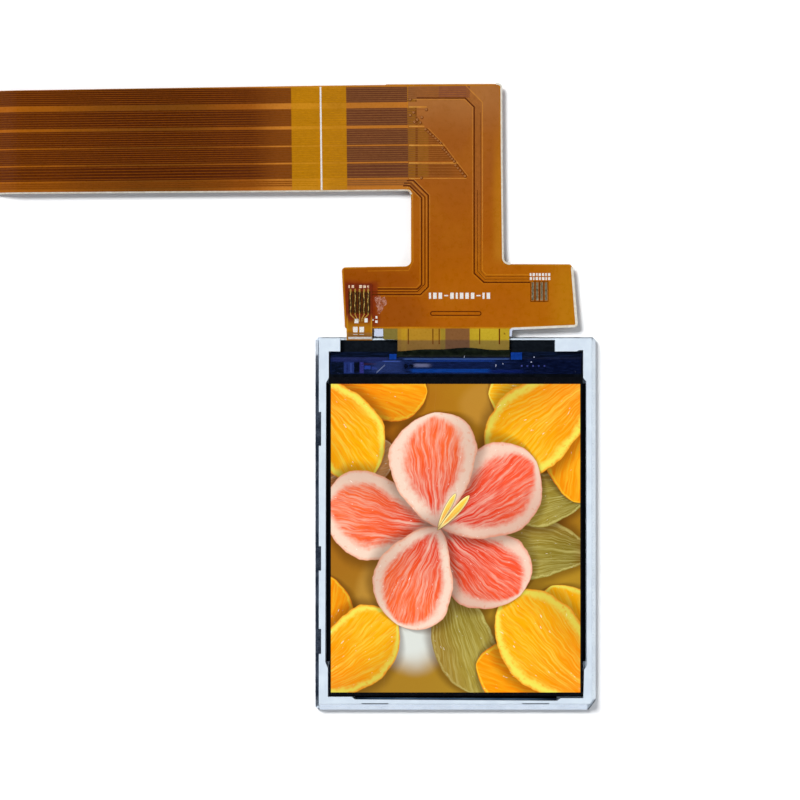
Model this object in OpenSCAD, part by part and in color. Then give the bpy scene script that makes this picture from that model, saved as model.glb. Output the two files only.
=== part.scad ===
// Colour display module with a moulded backlight, a glass cell and a long
// flexible circuit. The module lies face up, the origin is the middle of
// its rear face, +Z points out of the screen and +Y towards the circuit.

/* [Module] */
// Width of the rear case over its side walls
mod_w = 50.4; // [49.8:0.1:51.0]
// Height of the rear case over its end walls
mod_h = 67.0; // [66.8:0.1:67.6]
// Height of the plastic rim above the rear face
rim_z = 2.35; // [2.3:0.05:2.6]
// Chamfer of the lower right corner along the bottom wall
chamfer_x = 1.2; // [0.6:0.1:1.6]
// Chamfer of the lower right corner along the side wall
chamfer_y = 1.6; // [0.8:0.1:2.0]

/* [Rear case] */
// Thickness of the pressed sheet
case_t = 0.2; // [0.15:0.05:0.25]
// Height of the case walls above the rear face
wall_z = 1.4; // [1.2:0.05:1.45]
// Height of each snap window in the walls
window_h = 0.5; // [0.3:0.05:0.55]

/* [Backlight] */
// Half width of the light guide
guide_hw = 22.5; // [22.45:0.01:22.55]
// Thickness of the reflector film
reflector_t = 0.08; // [0.06:0.01:0.1]
// Number of side-emitting lamps
led_count = 4; // [3:1:4]
// Length of one lamp
led_l = 3.8; // [3.0:0.1:4.0]

/* [Glass cell] */
// Thickness of each glass plate
glass_t = 0.5; // [0.4:0.05:0.5]
// Thickness of the front polarizer
polarizer_t = 0.16; // [0.1:0.01:0.16]
// Length of the driver chip
chip_l = 15.3; // [12:0.1:17]

/* [Flexible circuit] */
// Thickness of the flexible circuit
flex_t = 0.12; // [0.1:0.01:0.16]
// Length of the ribbon beyond the neck
ribbon_l = 84; // [60:1:100]
// Width of the ribbon at its contact end
ribbon_w = 18.5; // [18.3:0.1:19]
// In-plane lean of the ribbon
ribbon_lean = 0.65; // [0:0.05:1]
// Height that the springy circuit keeps above the table, between glass and contact end
flex_rest = 1.2; // [0:0.1:1.4]
// Length over which the ribbon comes down to its contact end
settle_l = 6.8; // [4:0.1:12]

/* [Contact end] */
// Number of contact fingers
finger_count = 36; // [20:1:36]
// Spacing of the contact fingers
finger_pitch = 0.5; // [0.5:0.05:0.5]
// Thickness of the stiffener under the contact end
stiffener_t = 0.2; // [0.15:0.01:0.25]
// Length of the stiffener
stiffener_l = 6.5; // [5:0.1:8]

/* [Hidden] */
$fn = 48;

hw = mod_w / 2;
hh = mod_h / 2;
case_gap = 0.02;             // frame to case wall
guide_z = case_t + reflector_t;
guide_t = 0.45;
diffuser_z = guide_z + guide_t;
prism_z = diffuser_z + 0.06;
prism_t = 0.07;
shelf_z = 0.94;              // shelf that carries the shield tape
strip_z = 0.82;              // underside of the backlight circuit
strip_t = 0.1;
tape_t = 0.06;
rear_pol_z = shelf_z + tape_t;
rear_pol_t = 0.12;
array_z = rear_pol_z + rear_pol_t;
seal_z = array_z + glass_t;
seal_t = 0.02;
filter_z = seal_z + seal_t;
front_pol_z = filter_z + glass_t;

// glass plates
gx0 = -22.7;
gx1 = 22.85;
gy0 = -31.05;
array_y1 = 30.85;
filter_y1 = 26.85;

// flexible circuit heights: it leaves the glass at seal_z, comes down a little
// and spans freely to its contact end, which lies on the table
slope_y0 = 32;
slope_y1 = 44.5;
slope_steps = 25;
function smooth(t) = t <= 0 ? 0 : t >= 1 ? 1 : t * t * (3 - 2 * t);
function stepped(t) = let (i = floor(t * slope_steps), f = t * slope_steps - i)
    smooth(i / slope_steps) * (1 - f) + smooth((i + 1) / slope_steps) * f;
function flex_z(y) = seal_z - (seal_z - flex_rest) * stepped((y - slope_y0) / (slope_y1 - slope_y0));
// ribbon heights along its own length, 0 at the neck, negative outwards
end_x = -ribbon_l;
settle_x1 = end_x + stiffener_l + 0.3;
settle_x0 = settle_x1 + settle_l;            // where it starts down to the table
function ribbon_z(x) = flex_rest + (stiffener_t - flex_rest) * smooth((settle_x0 - x) / settle_l);

// stations that the sloping solids share, so that they meet face to face
slope_stations = [for (i = [0:1:slope_steps]) slope_y0 + (slope_y1 - slope_y0) * i / slope_steps];
function band(ys, z0, t) = concat(
    [for (i = [0:1:len(ys) - 1]) [ys[i], flex_z(ys[i]) + z0]],
    [for (i = [len(ys) - 1:-1:0]) [ys[i], flex_z(ys[i]) + z0 + t]]);
function between(ys, a, b) = concat([a], [for (y = ys) if (y > a + 0.01 && y < b - 0.01) y], [b]);

// outline of the module, brought in by i
function outline(i) = let (
    l = sqrt(chamfer_x * chamfer_x + chamfer_y * chamfer_y),
    px = hw - chamfer_x - i * chamfer_y / l,
    py = -hh + i * chamfer_x / l,
    t0 = (-hh + i - py) / chamfer_y,
    t1 = (hw - i - px) / chamfer_x)
    [[-hw + i, -hh + i], [px + chamfer_x * t0, -hh + i],
     [hw - i, py + chamfer_y * t1], [hw - i, hh - i], [-hw + i, hh - i]];

// polygon corners, each [x, y, r], with r the radius that rounds it
function unit(v) = v / norm(v);
function corner(p, a, b) = p[2] <= 0 ? [[p[0], p[1]]] : let (
    c = [p[0], p[1]],
    u = unit([a[0], a[1]] - c), v = unit([b[0], b[1]] - c),
    half = acos(max(-1, min(1, u * v))) / 2,
    d = p[2] / tan(half),
    m = c + unit(u + v) * (p[2] / sin(half)),
    s = c + u * d - m, e = c + v * d - m,
    a0 = atan2(s[1], s[0]), da = atan2(s[0] * e[1] - s[1] * e[0], s * e))
    [for (k = [0:1:6]) m + p[2] * [cos(a0 + da * k / 6), sin(a0 + da * k / 6)]];
function rounded(pts) = [for (i = [0:1:len(pts) - 1])
    each corner(pts[i], pts[(i + len(pts) - 1) % len(pts)], pts[(i + 1) % len(pts)])];

module slab(x0, x1, y0, y1, z0, z1) {
    translate([x0, y0, z0]) cube([x1 - x0, y1 - y0, z1 - z0]);
}
// extrudes a [y, z] profile along x
module across(x0, x1, pts) {
    translate([x0, 0, 0]) rotate([90, 0, 90]) linear_extrude(x1 - x0) polygon(pts);
}

// ---- rear case -----------------------------------------------------------
// snap windows, as centre and length along the wall
side_windows = [[17.0, 6.0], [-6.3, 4.3], [-21.2, 4.4]];
end_windows = [[-14.5, 4.8], [14.4, 4.8]];
window_z = 0.3;
crimp_z = wall_z - 0.35;     // where the wall starts to turn in
crimp_left = 0.5;            // how far the walls turn in
crimp_right = 0.64;
crimp_end = 0.98;
tab_left = 1.0;              // the wider tabs above the snap windows of the left wall
crimp_slope = 0.6;

// section of a wall that stands at x = edge and turns in by reach at its top
function wall_section(edge, reach) = let (drop = case_t * sqrt(1 + crimp_slope * crimp_slope),
    tip = crimp_z + reach * crimp_slope)
    [[edge, 0], [edge, crimp_z], [edge - reach, tip], [edge - reach, tip - drop],
     [edge - case_t, crimp_z + case_t * crimp_slope - drop], [edge - case_t, 0]];
module side_wall(y0, y1, reach) {
    translate([0, y1, 0]) rotate([90, 0, 0]) linear_extrude(y1 - y0) polygon(wall_section(hw, reach));
}
module end_wall(x0, x1, reach) {
    translate([x0, 0, 0]) rotate([90, 0, 90]) linear_extrude(x1 - x0)
        polygon([for (p = wall_section(hh, reach)) [-p[0], p[1]]]);
}

module rear_metal_case() {
    color("#8d949c") difference() {
        union() {
            linear_extrude(case_t) polygon(outline(0));
            // side walls; the left one has a wider tab above each snap window
            side_wall(-hh + chamfer_y + 0.25, hh - 0.5, crimp_right);
            mirror([1, 0, 0]) side_wall(-hh + 0.75, hh - 0.5, crimp_left);
            for (w = side_windows) mirror([1, 0, 0])
                side_wall(w[0] - w[1] / 2, w[0] + w[1] / 2, tab_left);
            end_wall(-hw + 0.75, hw - chamfer_x - 0.3, crimp_end);
            // upper wall, straight
            slab(-hw + 0.5, hw - 0.5, hh - case_t, hh, 0, 1.25);
        }
        for (s = [-1, 1], w = side_windows)
            translate([s * hw - 1, w[0] - w[1] / 2 + 0.4, window_z]) cube([2, w[1] - 0.8, window_h]);
        for (w = end_windows)
            translate([w[0] - w[1] / 2, -hh - 1, window_z]) cube([w[1], 2, window_h]);
        // the walls are bent up one by one and stay apart at the corners
        for (c = [[-hw, -hh], [-hw, hh], [hw, hh]])
            translate([c[0], c[1], 0]) cylinder(h = 4, r = 0.45, center = true);
        // the upper wall drops under the backlight circuit
        slab(-20.4, -14.3, hh - 1, hh + 1, 0.7, 3);
    }
}

// ---- moulded frame -------------------------------------------------------
// pocket for the glass, with locating ribs at its corners
pocket = [[-22.8, 30.92], [-22.8, 26.15], [-23.28, 25.3], [-23.42, -24.9],
          [-22.95, -26.0], [-22.95, -31.15], [-18.7, -31.15], [-18.1, -31.62],
          [18.3, -31.85], [18.9, -31.4], [22.95, -31.4], [23.1, -26.3],
          [23.62, -25.6], [23.5, 25.5], [22.95, 26.15], [22.95, 31.15],
          [22.2, 31.15], [21.8, 30.92]];
bar_x0 = -20.75;
bar_x1 = 17.9;

rim_x = 24.54;               // outer face of the raised rim
module mold_frame() {
    color("#e4edf3") difference() {
        union() {
            translate([0, 0, case_t]) linear_extrude(1.3 - case_t)
                polygon(outline(case_t + case_gap));
            // raised rim, set back from the case wall on three sides
            intersection() {
                slab(-rim_x, rim_x, -32.5, 33.28, case_t, rim_z);
                linear_extrude(rim_z) polygon(outline(0.55));
            }
            slab(-rim_x, bar_x0, 30, 33.28, 1, rim_z);
            slab(bar_x1, rim_x, 30, 33.28, 1, rim_z);
            // snap hooks that stand in the windows of the case
            for (s = [-1, 1], w = side_windows)
                translate([s * (hw - 0.16) - 0.12, w[0] - w[1] / 2 + 0.5, window_z + 0.05])
                    cube([0.24, w[1] - 1.0, window_h - 0.15]);
            for (w = end_windows)
                translate([w[0] - w[1] / 2 + 0.1, -hh + 0.04, window_z + 0.05])
                    cube([w[1] - 0.2, 0.24, window_h - 0.15]);
        }
        // shoulder below the turned-in walls
        for (m = [0, 1]) mirror([m, 0, 0]) translate([0, 60, 0]) rotate([90, 0, 0])
            linear_extrude(120) polygon([[hw + 1, crimp_z - 0.13], [hw - case_t - case_gap, crimp_z - 0.13],
                [rim_x, 1.15], [rim_x, 1.31], [hw + 1, 1.31]]);
        translate([-60, 0, 0]) rotate([90, 0, 90]) linear_extrude(120)
            polygon([[-hh - 1, crimp_z - 0.13], [-hh + case_t + case_gap, crimp_z - 0.13],
                [-hh + 0.86, 1.27], [-hh + 0.86, 1.31], [-hh - 1, 1.31]]);
        // glass pocket
        translate([0, 0, shelf_z]) linear_extrude(3) polygon(pocket);
        // lowered bar along the upper edge
        slab(bar_x0, bar_x1, 30, 33.0, shelf_z, 4);
        slab(bar_x0, bar_x1, 32.9, 35, 1.3, 4);
        // light guide and lamp pocket
        slab(-22.62, 22.62, -30.85, 29.6, -1, 4);
        slab(-20, 17.6, 28, 31.6, -1, 4);
        // channel of the backlight circuit
        slab(-20, -14.6, 31, 34, strip_z, 4);
        // rim set back behind the wider tabs
        for (w = side_windows) mirror([1, 0, 0])
            slab(24.16, 26, w[0] - w[1] / 2 - 0.05, w[0] + w[1] / 2 + 0.05, 1.1, 4);
        // grooves behind the windows of the lower wall
        for (w = end_windows)
            translate([w[0] - w[1] / 2, -32.64, 0.95]) cube([w[1], 0.34, 4]);
        // eased edges of the rim
        for (s = [-1, 1]) translate([s * rim_x, 0, rim_z]) rotate([0, 45, 0])
            cube([0.16, 80, 0.16], center = true);
        translate([0, -32.5, rim_z]) rotate([45, 0, 0]) cube([60, 0.16, 0.16], center = true);
    }
}

// ---- backlight -----------------------------------------------------------
module reflector_sheet() {
    color("#f4f6f8") slab(-guide_hw, guide_hw, -30.8, 29.55, case_t, guide_z);
}
module light_guide_plate() {
    color("#dfe9ee", 0.6) difference() {
        slab(-guide_hw, guide_hw, -30.8, 29.5, guide_z, diffuser_z);
        // key notches in the lower corners
        for (s = [-1, 1]) translate([s * guide_hw, -29.6, guide_z - 1])
            cylinder(h = 3, r = 0.5);
    }
}
module diffuser_sheet() {
    color("#f7f7f4") slab(-guide_hw, guide_hw, -30.75, 28.5, diffuser_z, prism_z);
}
module lower_prism_sheet() {
    color("#e9eef0", 0.7) slab(-guide_hw, guide_hw, -30.75, 28.4, prism_z, prism_z + prism_t);
}
module upper_prism_sheet() {
    color("#eef2f4", 0.7) slab(-guide_hw + 0.05, guide_hw - 0.05, -30.7, 28.3,
        prism_z + prism_t, prism_z + 2 * prism_t);
}
led_h = 0.5;
module backlight_leds() {
    color("#f2e9b8") for (i = [0:1:led_count - 1]) translate([(i - (led_count - 1) / 2) * 8.8 - 1, 29.65, strip_z - led_h])
        difference() {
            translate([-led_l / 2, 0, 0]) cube([led_l, 1.0, led_h]);
            // emitting recess facing the light guide
            translate([-led_l / 2 + 0.4, -0.01, 0.1]) cube([led_l - 0.8, 0.16, led_h - 0.2]);
        }
}

// the strip climbs from the lamp bar to the head of the main circuit
strip_x0 = -19.6;
strip_x1 = -15.0;
strip_end = 43.1;
climb_y0 = 32.95;
climb_y1 = 34.5;
function strip_low(y) = y <= climb_y0 ? strip_z
    : y >= climb_y1 ? flex_z(y) + flex_t
    : strip_z + (flex_z(climb_y1) + flex_t - strip_z) * smooth((y - climb_y0) / (climb_y1 - climb_y0));
strip_ys = concat([31.0], [for (i = [0:1:8]) climb_y0 + (climb_y1 - climb_y0) * i / 8],
    [for (y = slope_stations) if (y > climb_y1 + 0.01 && y < strip_end) y], [strip_end]);
module backlight_flex() {
    color("#b0700c") union() {
        slab(strip_x0, 17.0, 28.75, 31.3, strip_z, strip_z + strip_t);
        across(strip_x0, strip_x1, concat(
            [for (i = [0:1:len(strip_ys) - 1]) [strip_ys[i], strip_low(strip_ys[i])]],
            [for (i = [len(strip_ys) - 1:-1:0]) [strip_ys[i], strip_low(strip_ys[i]) + strip_t]]));
    }
}
module led_fixing_tape() {
    color("#efe6d0") slab(-17.0, 15.0, 28.8, 29.45, diffuser_z, strip_z);
}

// ---- shield tape and glass cell ------------------------------------------
module light_shield_tape() {
    color("#0d1014") difference() {
        union() {
            slab(-22.75, 22.9, -31.1, 30.87, shelf_z, shelf_z + tape_t);
            slab(-23.2, 23.45, -24.8, 25.2, shelf_z, shelf_z + tape_t);
            slab(-18.0, 18.2, -31.6, -30, shelf_z, shelf_z + tape_t);
            slab(bar_x0 + 0.05, bar_x1 - 0.05, 30, 32.95, shelf_z, shelf_z + tape_t);
        }
        slab(-22.42, 22.42, -30.45, 25.15, 0, 3);
    }
}
module rear_polarizer() {
    color("#2a2d31") slab(-22.55, 22.7, -30.9, 26.0, rear_pol_z, array_z);
}
module array_glass() {
    color("#1b2740", 0.8) slab(gx0, gx1, gy0, array_y1, array_z, seal_z);
}
module cell_seal() {
    color("#3a3a36") difference() {
        slab(gx0 + 0.15, gx1 - 0.15, gy0 + 0.15, filter_y1 - 0.15, seal_z, filter_z);
        slab(gx0 + 0.27, gx1 - 0.27, gy0 + 0.45, filter_y1 - 1.0, seal_z - 1, filter_z + 1);
        // filling port, closed after the cell is filled
        slab(8, 8.8, gy0, gy0 + 1, seal_z - 1, filter_z + 1);
    }
}
module colour_filter_glass() {
    color("#11151c", 0.9) slab(gx0, gx1, gy0, filter_y1, filter_z, front_pol_z);
}
module front_polarizer() {
    color("#15181d") slab(gx0 + 0.1, gx1 - 0.1, gy0 + 0.12, 26.3, front_pol_z, front_pol_z + polarizer_t);
}

// ---- driver ledge --------------------------------------------------------
chip_x = -1.45;
chip_y = 28.25;
chip_w = 1.15;
chip_h = 0.26;
module driver_chip() {
    color("#1a2033") translate([chip_x - chip_l / 2, chip_y - chip_w / 2, seal_z]) cube([chip_l, chip_w, chip_h]);
}
module ledge_coating() {
    color("#16275a", 0.8) difference() {
        across(-22.5, 22.6, [[filter_y1, seal_z], [29.9, seal_z], [29.86, seal_z + 0.12],
            [29.5, seal_z + 0.22], [28.9, seal_z + 0.31], [28.2, seal_z + 0.34],
            [27.4, seal_z + 0.34], [filter_y1, seal_z + 0.42]]);
        driver_chip();
    }
}
tail_end = 29.95;
module bond_glue() {
    // bead over the end of the circuit's tail; its upper edge is uneven
    color("#12170f") intersection() {
        across(-10.55, 9.75, [[29.9, seal_z], [tail_end, seal_z], [tail_end, seal_z + flex_t],
            [31.75, seal_z + flex_t], [31.5, seal_z + flex_t + 0.12], [30.95, seal_z + flex_t + 0.22],
            [30.3, seal_z + flex_t + 0.2], [29.95, seal_z + flex_t + 0.08], [29.9, seal_z + 0.06]]);
        linear_extrude(4) polygon(concat(
            [[-10.55, 29.5]], [[9.75, 29.5]],
            [for (k = [0:1:40]) let (x = 9.75 - 20.3 * k / 40)
                [x, 31.28 + 0.22 * cos(x * 16 - 20) + 0.1 * sin(x * 43)]]));
    }
}

// ---- main circuit --------------------------------------------------------
pivot = [-8, 69.47];
neck_pts = rounded([
    [-12.5, 59.9, 0], [-8.01, 59.94, 0.9], [-8.01, 46.25, 1.1], [-20.5, 46.06, 0.7],
    [-19.89, 34.97, 0.5], [-13.0, 35.1, 0.2], [-13.0, 33.1, 0.2], [-10.44, 33.0, 0.2],
    [-10.44, tail_end, 0], [9.63, tail_end, 0], [9.7, 35.06, 0.35], [21.74, 35.6, 0.45],
    [20.92, 46.62, 0.55], [8.48, 46.64, 1.1], [8.28, 66, 0], [8.22, 79.1, 0.7],
    [-12.5, 79.02, 0]]);
neck_profile = let (ys = concat([29], slope_stations, [80]))
    concat([for (y = ys) [y, flex_z(y)]], [for (i = [len(ys) - 1:-1:0]) [ys[i], flex_z(ys[i]) + flex_t]]);
ribbon_stations = concat([0.5], [for (i = [0:1:12]) settle_x0 - settle_l * i / 12], [end_x]);

// children are drawn in the ribbon's own frame: x runs along it, 0 at the neck
module in_ribbon() {
    translate([pivot[0], pivot[1], 0]) rotate([0, 0, ribbon_lean]) children();
}
module ribbon_profile(z0, t) {
    translate([0, 12, 0]) rotate([90, 0, 0]) linear_extrude(24) polygon(concat(
        [for (x = ribbon_stations) [x, ribbon_z(x) + z0]],
        [for (i = [len(ribbon_stations) - 1:-1:0]) [ribbon_stations[i], ribbon_z(ribbon_stations[i]) + z0 + t]]));
}
module main_flex() {
    color("#a9610b") union() {
        intersection() {
            across(-30, 30, neck_profile);
            linear_extrude(4) polygon(neck_pts);
        }
        in_ribbon() intersection() {
            ribbon_profile(0, flex_t);
            linear_extrude(4) polygon(rounded([[0, -9.5, 0], [0, 9.5, 0], [-16, 9.5, 0],
                [-74, ribbon_w / 2, 0], [end_x, ribbon_w / 2, 0.5],
                [end_x, -ribbon_w / 2, 0.5], [-74, -ribbon_w / 2, 0], [-16, -9.5, 0]]));
        }
    }
}
module flex_stiffener() {
    color("#2f5f9a") in_ribbon() slab(end_x, end_x + stiffener_l, -ribbon_w / 2 + 0.05, ribbon_w / 2 - 0.05, 0, stiffener_t);
}
module contact_fingers() {
    color("#d8b04a") in_ribbon() for (i = [0:1:finger_count - 1])
        translate([end_x + 0.15, (i - (finger_count - 1) / 2) * finger_pitch - 0.16, stiffener_t + flex_t])
            cube([3.6, 0.32, 0.02]);
}
module touch_pads() {
    color("#b9b5a6") for (x = [13.9, 14.7, 15.5, 16.3])
        across(x - 0.22, x + 0.22, band(between(slope_stations, 40.1, 43.4), flex_t, 0.02));
}
module backlight_solder() {
    // five solder mounds that join the strip to the pads below it
    color("#a9854b") for (x = [-18.88, -18.07, -17.26, -16.45, -15.72])
        intersection() {
            across(x - 0.24, x + 0.24, band(between(slope_stations, 37.9, 41.6), flex_t + strip_t, 0.16));
            translate([x, 39.75, flex_z(39.75) + flex_t + strip_t]) rotate([90 + atan((flex_z(41.6) - flex_z(37.9)) / 3.7), 0, 0])
                translate([0, -0.22, 0]) cylinder(h = 3.6, r = 0.36, center = true);
        }
}

rear_metal_case();
mold_frame();
reflector_sheet();
light_guide_plate();
diffuser_sheet();
lower_prism_sheet();
upper_prism_sheet();
backlight_leds();
backlight_flex();
led_fixing_tape();
light_shield_tape();
rear_polarizer();
array_glass();
cell_seal();
colour_filter_glass();
front_polarizer();
driver_chip();
ledge_coating();
bond_glue();
main_flex();
flex_stiffener();
contact_fingers();
touch_pads();
backlight_solder();
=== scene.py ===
import bpy, bmesh, math, random
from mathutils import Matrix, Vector

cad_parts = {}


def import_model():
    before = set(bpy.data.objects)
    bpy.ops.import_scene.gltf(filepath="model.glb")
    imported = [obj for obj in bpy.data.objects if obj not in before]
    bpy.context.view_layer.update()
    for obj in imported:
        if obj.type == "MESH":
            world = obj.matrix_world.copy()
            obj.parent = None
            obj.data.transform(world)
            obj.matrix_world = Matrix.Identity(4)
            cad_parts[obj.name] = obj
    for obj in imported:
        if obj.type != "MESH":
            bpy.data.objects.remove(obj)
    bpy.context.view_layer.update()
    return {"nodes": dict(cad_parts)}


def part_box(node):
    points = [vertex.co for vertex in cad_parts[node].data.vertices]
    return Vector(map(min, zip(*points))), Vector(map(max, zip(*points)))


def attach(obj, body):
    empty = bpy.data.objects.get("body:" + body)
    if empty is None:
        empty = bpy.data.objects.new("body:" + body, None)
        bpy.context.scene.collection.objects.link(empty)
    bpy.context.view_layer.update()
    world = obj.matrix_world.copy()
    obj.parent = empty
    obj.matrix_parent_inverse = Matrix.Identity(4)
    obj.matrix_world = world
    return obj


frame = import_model()
NODES = frame["nodes"]
MM = 0.001

# ---------------------------------------------------------------- helpers ---


def lin(h, a=1.0, keep=0.868):
    """Linear colour from a six-figure hex string, held down by keep."""
    out = []
    for i in (0, 2, 4):
        c = int(h[i:i + 2], 16) / 255
        out.append(c / 12.92 if c <= 0.04045 else ((c + 0.055) / 1.055) ** 2.4)
    return (*(c * keep for c in out), a)


class Sock:
    """A node socket that takes part in arithmetic."""

    def __init__(self, t, s):
        self.t, self.s = t, s

    def __add__(self, o): return self.t.math("ADD", self, o)
    def __radd__(self, o): return self.t.math("ADD", o, self)
    def __sub__(self, o): return self.t.math("SUBTRACT", self, o)
    def __rsub__(self, o): return self.t.math("SUBTRACT", o, self)
    def __mul__(self, o): return self.t.math("MULTIPLY", self, o)
    def __rmul__(self, o): return self.t.math("MULTIPLY", o, self)
    def __truediv__(self, o): return self.t.math("DIVIDE", self, o)
    def __neg__(self): return self.t.math("MULTIPLY", self, -1.0)


class Tree:
    """Short forms for building a node tree."""

    def __init__(self, tree):
        self.t = tree

    def node(self, kind, **props):
        n = self.t.nodes.new(kind)
        for k, v in props.items():
            setattr(n, k, v)
        return n

    def put(self, value, socket):
        if isinstance(value, Sock):
            self.t.links.new(value.s, socket)
        else:
            socket.default_value = value

    def math(self, op, a, b=None, c=None, clamp=False):
        n = self.node("ShaderNodeMath", operation=op, use_clamp=clamp)
        for i, v in enumerate((a, b, c)):
            if v is not None:
                self.put(v, n.inputs[i])
        return Sock(self, n.outputs[0])

    def mx(self, a, b): return self.math("MAXIMUM", a, b)
    def mn(self, a, b): return self.math("MINIMUM", a, b)
    def absv(self, a): return self.math("ABSOLUTE", a)
    def power(self, a, b): return self.math("POWER", a, b)
    def sin(self, a): return self.math("SINE", a)

    def ramp(self, x, a, b, lo=0.0, hi=1.0, smooth=True):
        n = self.node("ShaderNodeMapRange",
                      interpolation_type="SMOOTHSTEP" if smooth else "LINEAR", clamp=True)
        self.put(x, n.inputs["Value"])
        for k, v in (("From Min", a), ("From Max", b), ("To Min", lo), ("To Max", hi)):
            self.put(v, n.inputs[k])
        return Sock(self, n.outputs["Result"])

    def between(self, x, a, b, soft=0.05):
        """1 where a < x < b."""
        return self.ramp(x, a - soft, a + soft) * self.ramp(x, b - soft, b + soft, 1.0, 0.0)

    def mix(self, f, a, b, blend="MIX"):
        n = self.node("ShaderNodeMix", data_type="RGBA", blend_type=blend, clamp_factor=True)
        self.put(f, n.inputs[0])
        self.put(a, n.inputs[6])
        self.put(b, n.inputs[7])
        return Sock(self, n.outputs[2])

    def scale(self, colour, k):
        """A colour times a number."""
        n = self.node("ShaderNodeVectorMath", operation="SCALE")
        self.put(colour, n.inputs[0])
        self.put(k, n.inputs["Scale"])
        return Sock(self, n.outputs[0])

    def vec(self, x, y, z=0.0):
        n = self.node("ShaderNodeCombineXYZ")
        for i, v in enumerate((x, y, z)):
            self.put(v, n.inputs[i])
        return Sock(self, n.outputs[0])

    def noise(self, v, scale, detail=3.0, rough=0.55, colour=False):
        n = self.node("ShaderNodeTexNoise")
        self.put(v, n.inputs["Vector"])
        self.put(scale, n.inputs["Scale"])
        self.put(detail, n.inputs["Detail"])
        self.put(rough, n.inputs["Roughness"])
        return Sock(self, n.outputs[1 if colour else 0])

    def cells(self, v, scale, feature="F1"):
        n = self.node("ShaderNodeTexVoronoi", feature=feature)
        self.put(v, n.inputs["Vector"])
        self.put(scale, n.inputs["Scale"])
        return Sock(self, n.outputs["Distance"])


class Mat(Tree):
    """A material with one Principled shader, in row-frame millimetres."""

    def __init__(self, name, **plain):
        m = bpy.data.materials.new(name)
        m.use_nodes = True
        super().__init__(m.node_tree)
        self.m = m
        m.node_tree.nodes.clear()
        out = self.node("ShaderNodeOutputMaterial")
        self.p = self.node("ShaderNodeBsdfPrincipled")
        m.node_tree.links.new(self.p.outputs[0], out.inputs[0])
        for k, v in plain.items():
            self.p.inputs[k.replace("_", " ")].default_value = v
        tc = self.node("ShaderNodeTexCoord")
        sc = self.node("ShaderNodeVectorMath", operation="SCALE")
        m.node_tree.links.new(tc.outputs["Object"], sc.inputs[0])
        sc.inputs["Scale"].default_value = 1000.0
        self.pos = Sock(self, sc.outputs[0])
        sep = self.node("ShaderNodeSeparateXYZ")
        m.node_tree.links.new(sc.outputs[0], sep.inputs[0])
        self.X, self.Y, self.Z = (Sock(self, sep.outputs[i]) for i in range(3))

    def set(self, **sockets):
        for k, v in sockets.items():
            self.put(v, self.p.inputs[k.replace("_", " ")])
        return self

    def bump(self, height, strength, distance_mm):
        n = self.node("ShaderNodeBump")
        n.inputs["Strength"].default_value = strength
        n.inputs["Distance"].default_value = distance_mm * MM
        self.put(height, n.inputs["Height"])
        self.t.links.new(n.outputs[0], self.p.inputs["Normal"])
        return self


def paint(node, mat):
    ob = NODES[node]
    if not ob.material_slots:
        ob.data.materials.append(mat.m)
    for s in ob.material_slots:
        s.material = mat.m
    return ob


def add_piece(name, verts, faces, mat, smooth=False):
    """A mesh piece in millimetres, which rides on the root."""
    me = bpy.data.meshes.new(name)
    me.from_pydata([tuple(c * MM for c in v) for v in verts], [], faces)
    me.update()
    bm = bmesh.new()
    bm.from_mesh(me)
    bmesh.ops.recalc_face_normals(bm, faces=bm.faces)
    bm.to_mesh(me)
    bm.free()
    if smooth:
        for p in me.polygons:
            p.use_smooth = True
    ob = bpy.data.objects.new(name, me)
    bpy.context.scene.collection.objects.link(ob)
    me.materials.append(mat.m)
    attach(ob, "root")
    return ob


# ------------------------------------------------- the circuit's surface ----
# The circuit comes off the glass, spans freely and its contact end lies on the
# table. These are the solid's own heights.
FLEX_T = 0.12
LEDGE_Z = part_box("array_glass")[1].z / MM
PIVOT = (-8.0, 69.47)
LEAN = math.radians(0.65)
CA, SA = math.cos(LEAN), math.sin(LEAN)


def smooth(t):
    t = min(1.0, max(0.0, t))
    return t * t * (3 - 2 * t)


def table_of(xs, f):
    ys = [f(x) for x in xs]

    def at(x):
        if x <= xs[0]:
            return ys[0]
        for i in range(1, len(xs)):
            if x <= xs[i]:
                k = (x - xs[i - 1]) / (xs[i] - xs[i - 1])
                return ys[i - 1] * (1 - k) + ys[i] * k
        return ys[-1]
    return at


SLOPE_YS = [32 + 12.5 * i / 25 for i in range(26)]
REST = 1.2
flex_low = table_of(SLOPE_YS, lambda y: LEDGE_Z - (LEDGE_Z - REST) * smooth((y - 32) / 12.5))


def rib(x):
    return REST + (0.2 - REST) * smooth((-70.4 - x) / 6.8)


RIB_US = [-84.0] + [-70.4 - 6.8 * (12 - i) / 12 for i in range(13)] + [0.5]
rib_low = table_of(RIB_US, rib)


def local(x, y):
    dx, dy = x - PIVOT[0], y - PIVOT[1]
    return dx * CA + dy * SA, -dx * SA + dy * CA


def world(u, v):
    return PIVOT[0] + u * CA - v * SA, PIVOT[1] + u * SA + v * CA


def top(x, y):
    """Height of the circuit's upper face."""
    if x < -8.2 and y > 58:
        u, v = local(x, y)
        return (rib_low(u) if u < -2 else REST) + FLEX_T
    return flex_low(y) + FLEX_T


def resample(pts, step):
    out = []
    for a, b in zip(pts, pts[1:]):
        n = max(1, int(math.dist(a, b) / step + 0.5))
        out += [(a[0] + (b[0] - a[0]) * i / n, a[1] + (b[1] - a[1]) * i / n) for i in range(n)]
    return out + [pts[-1]]


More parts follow.
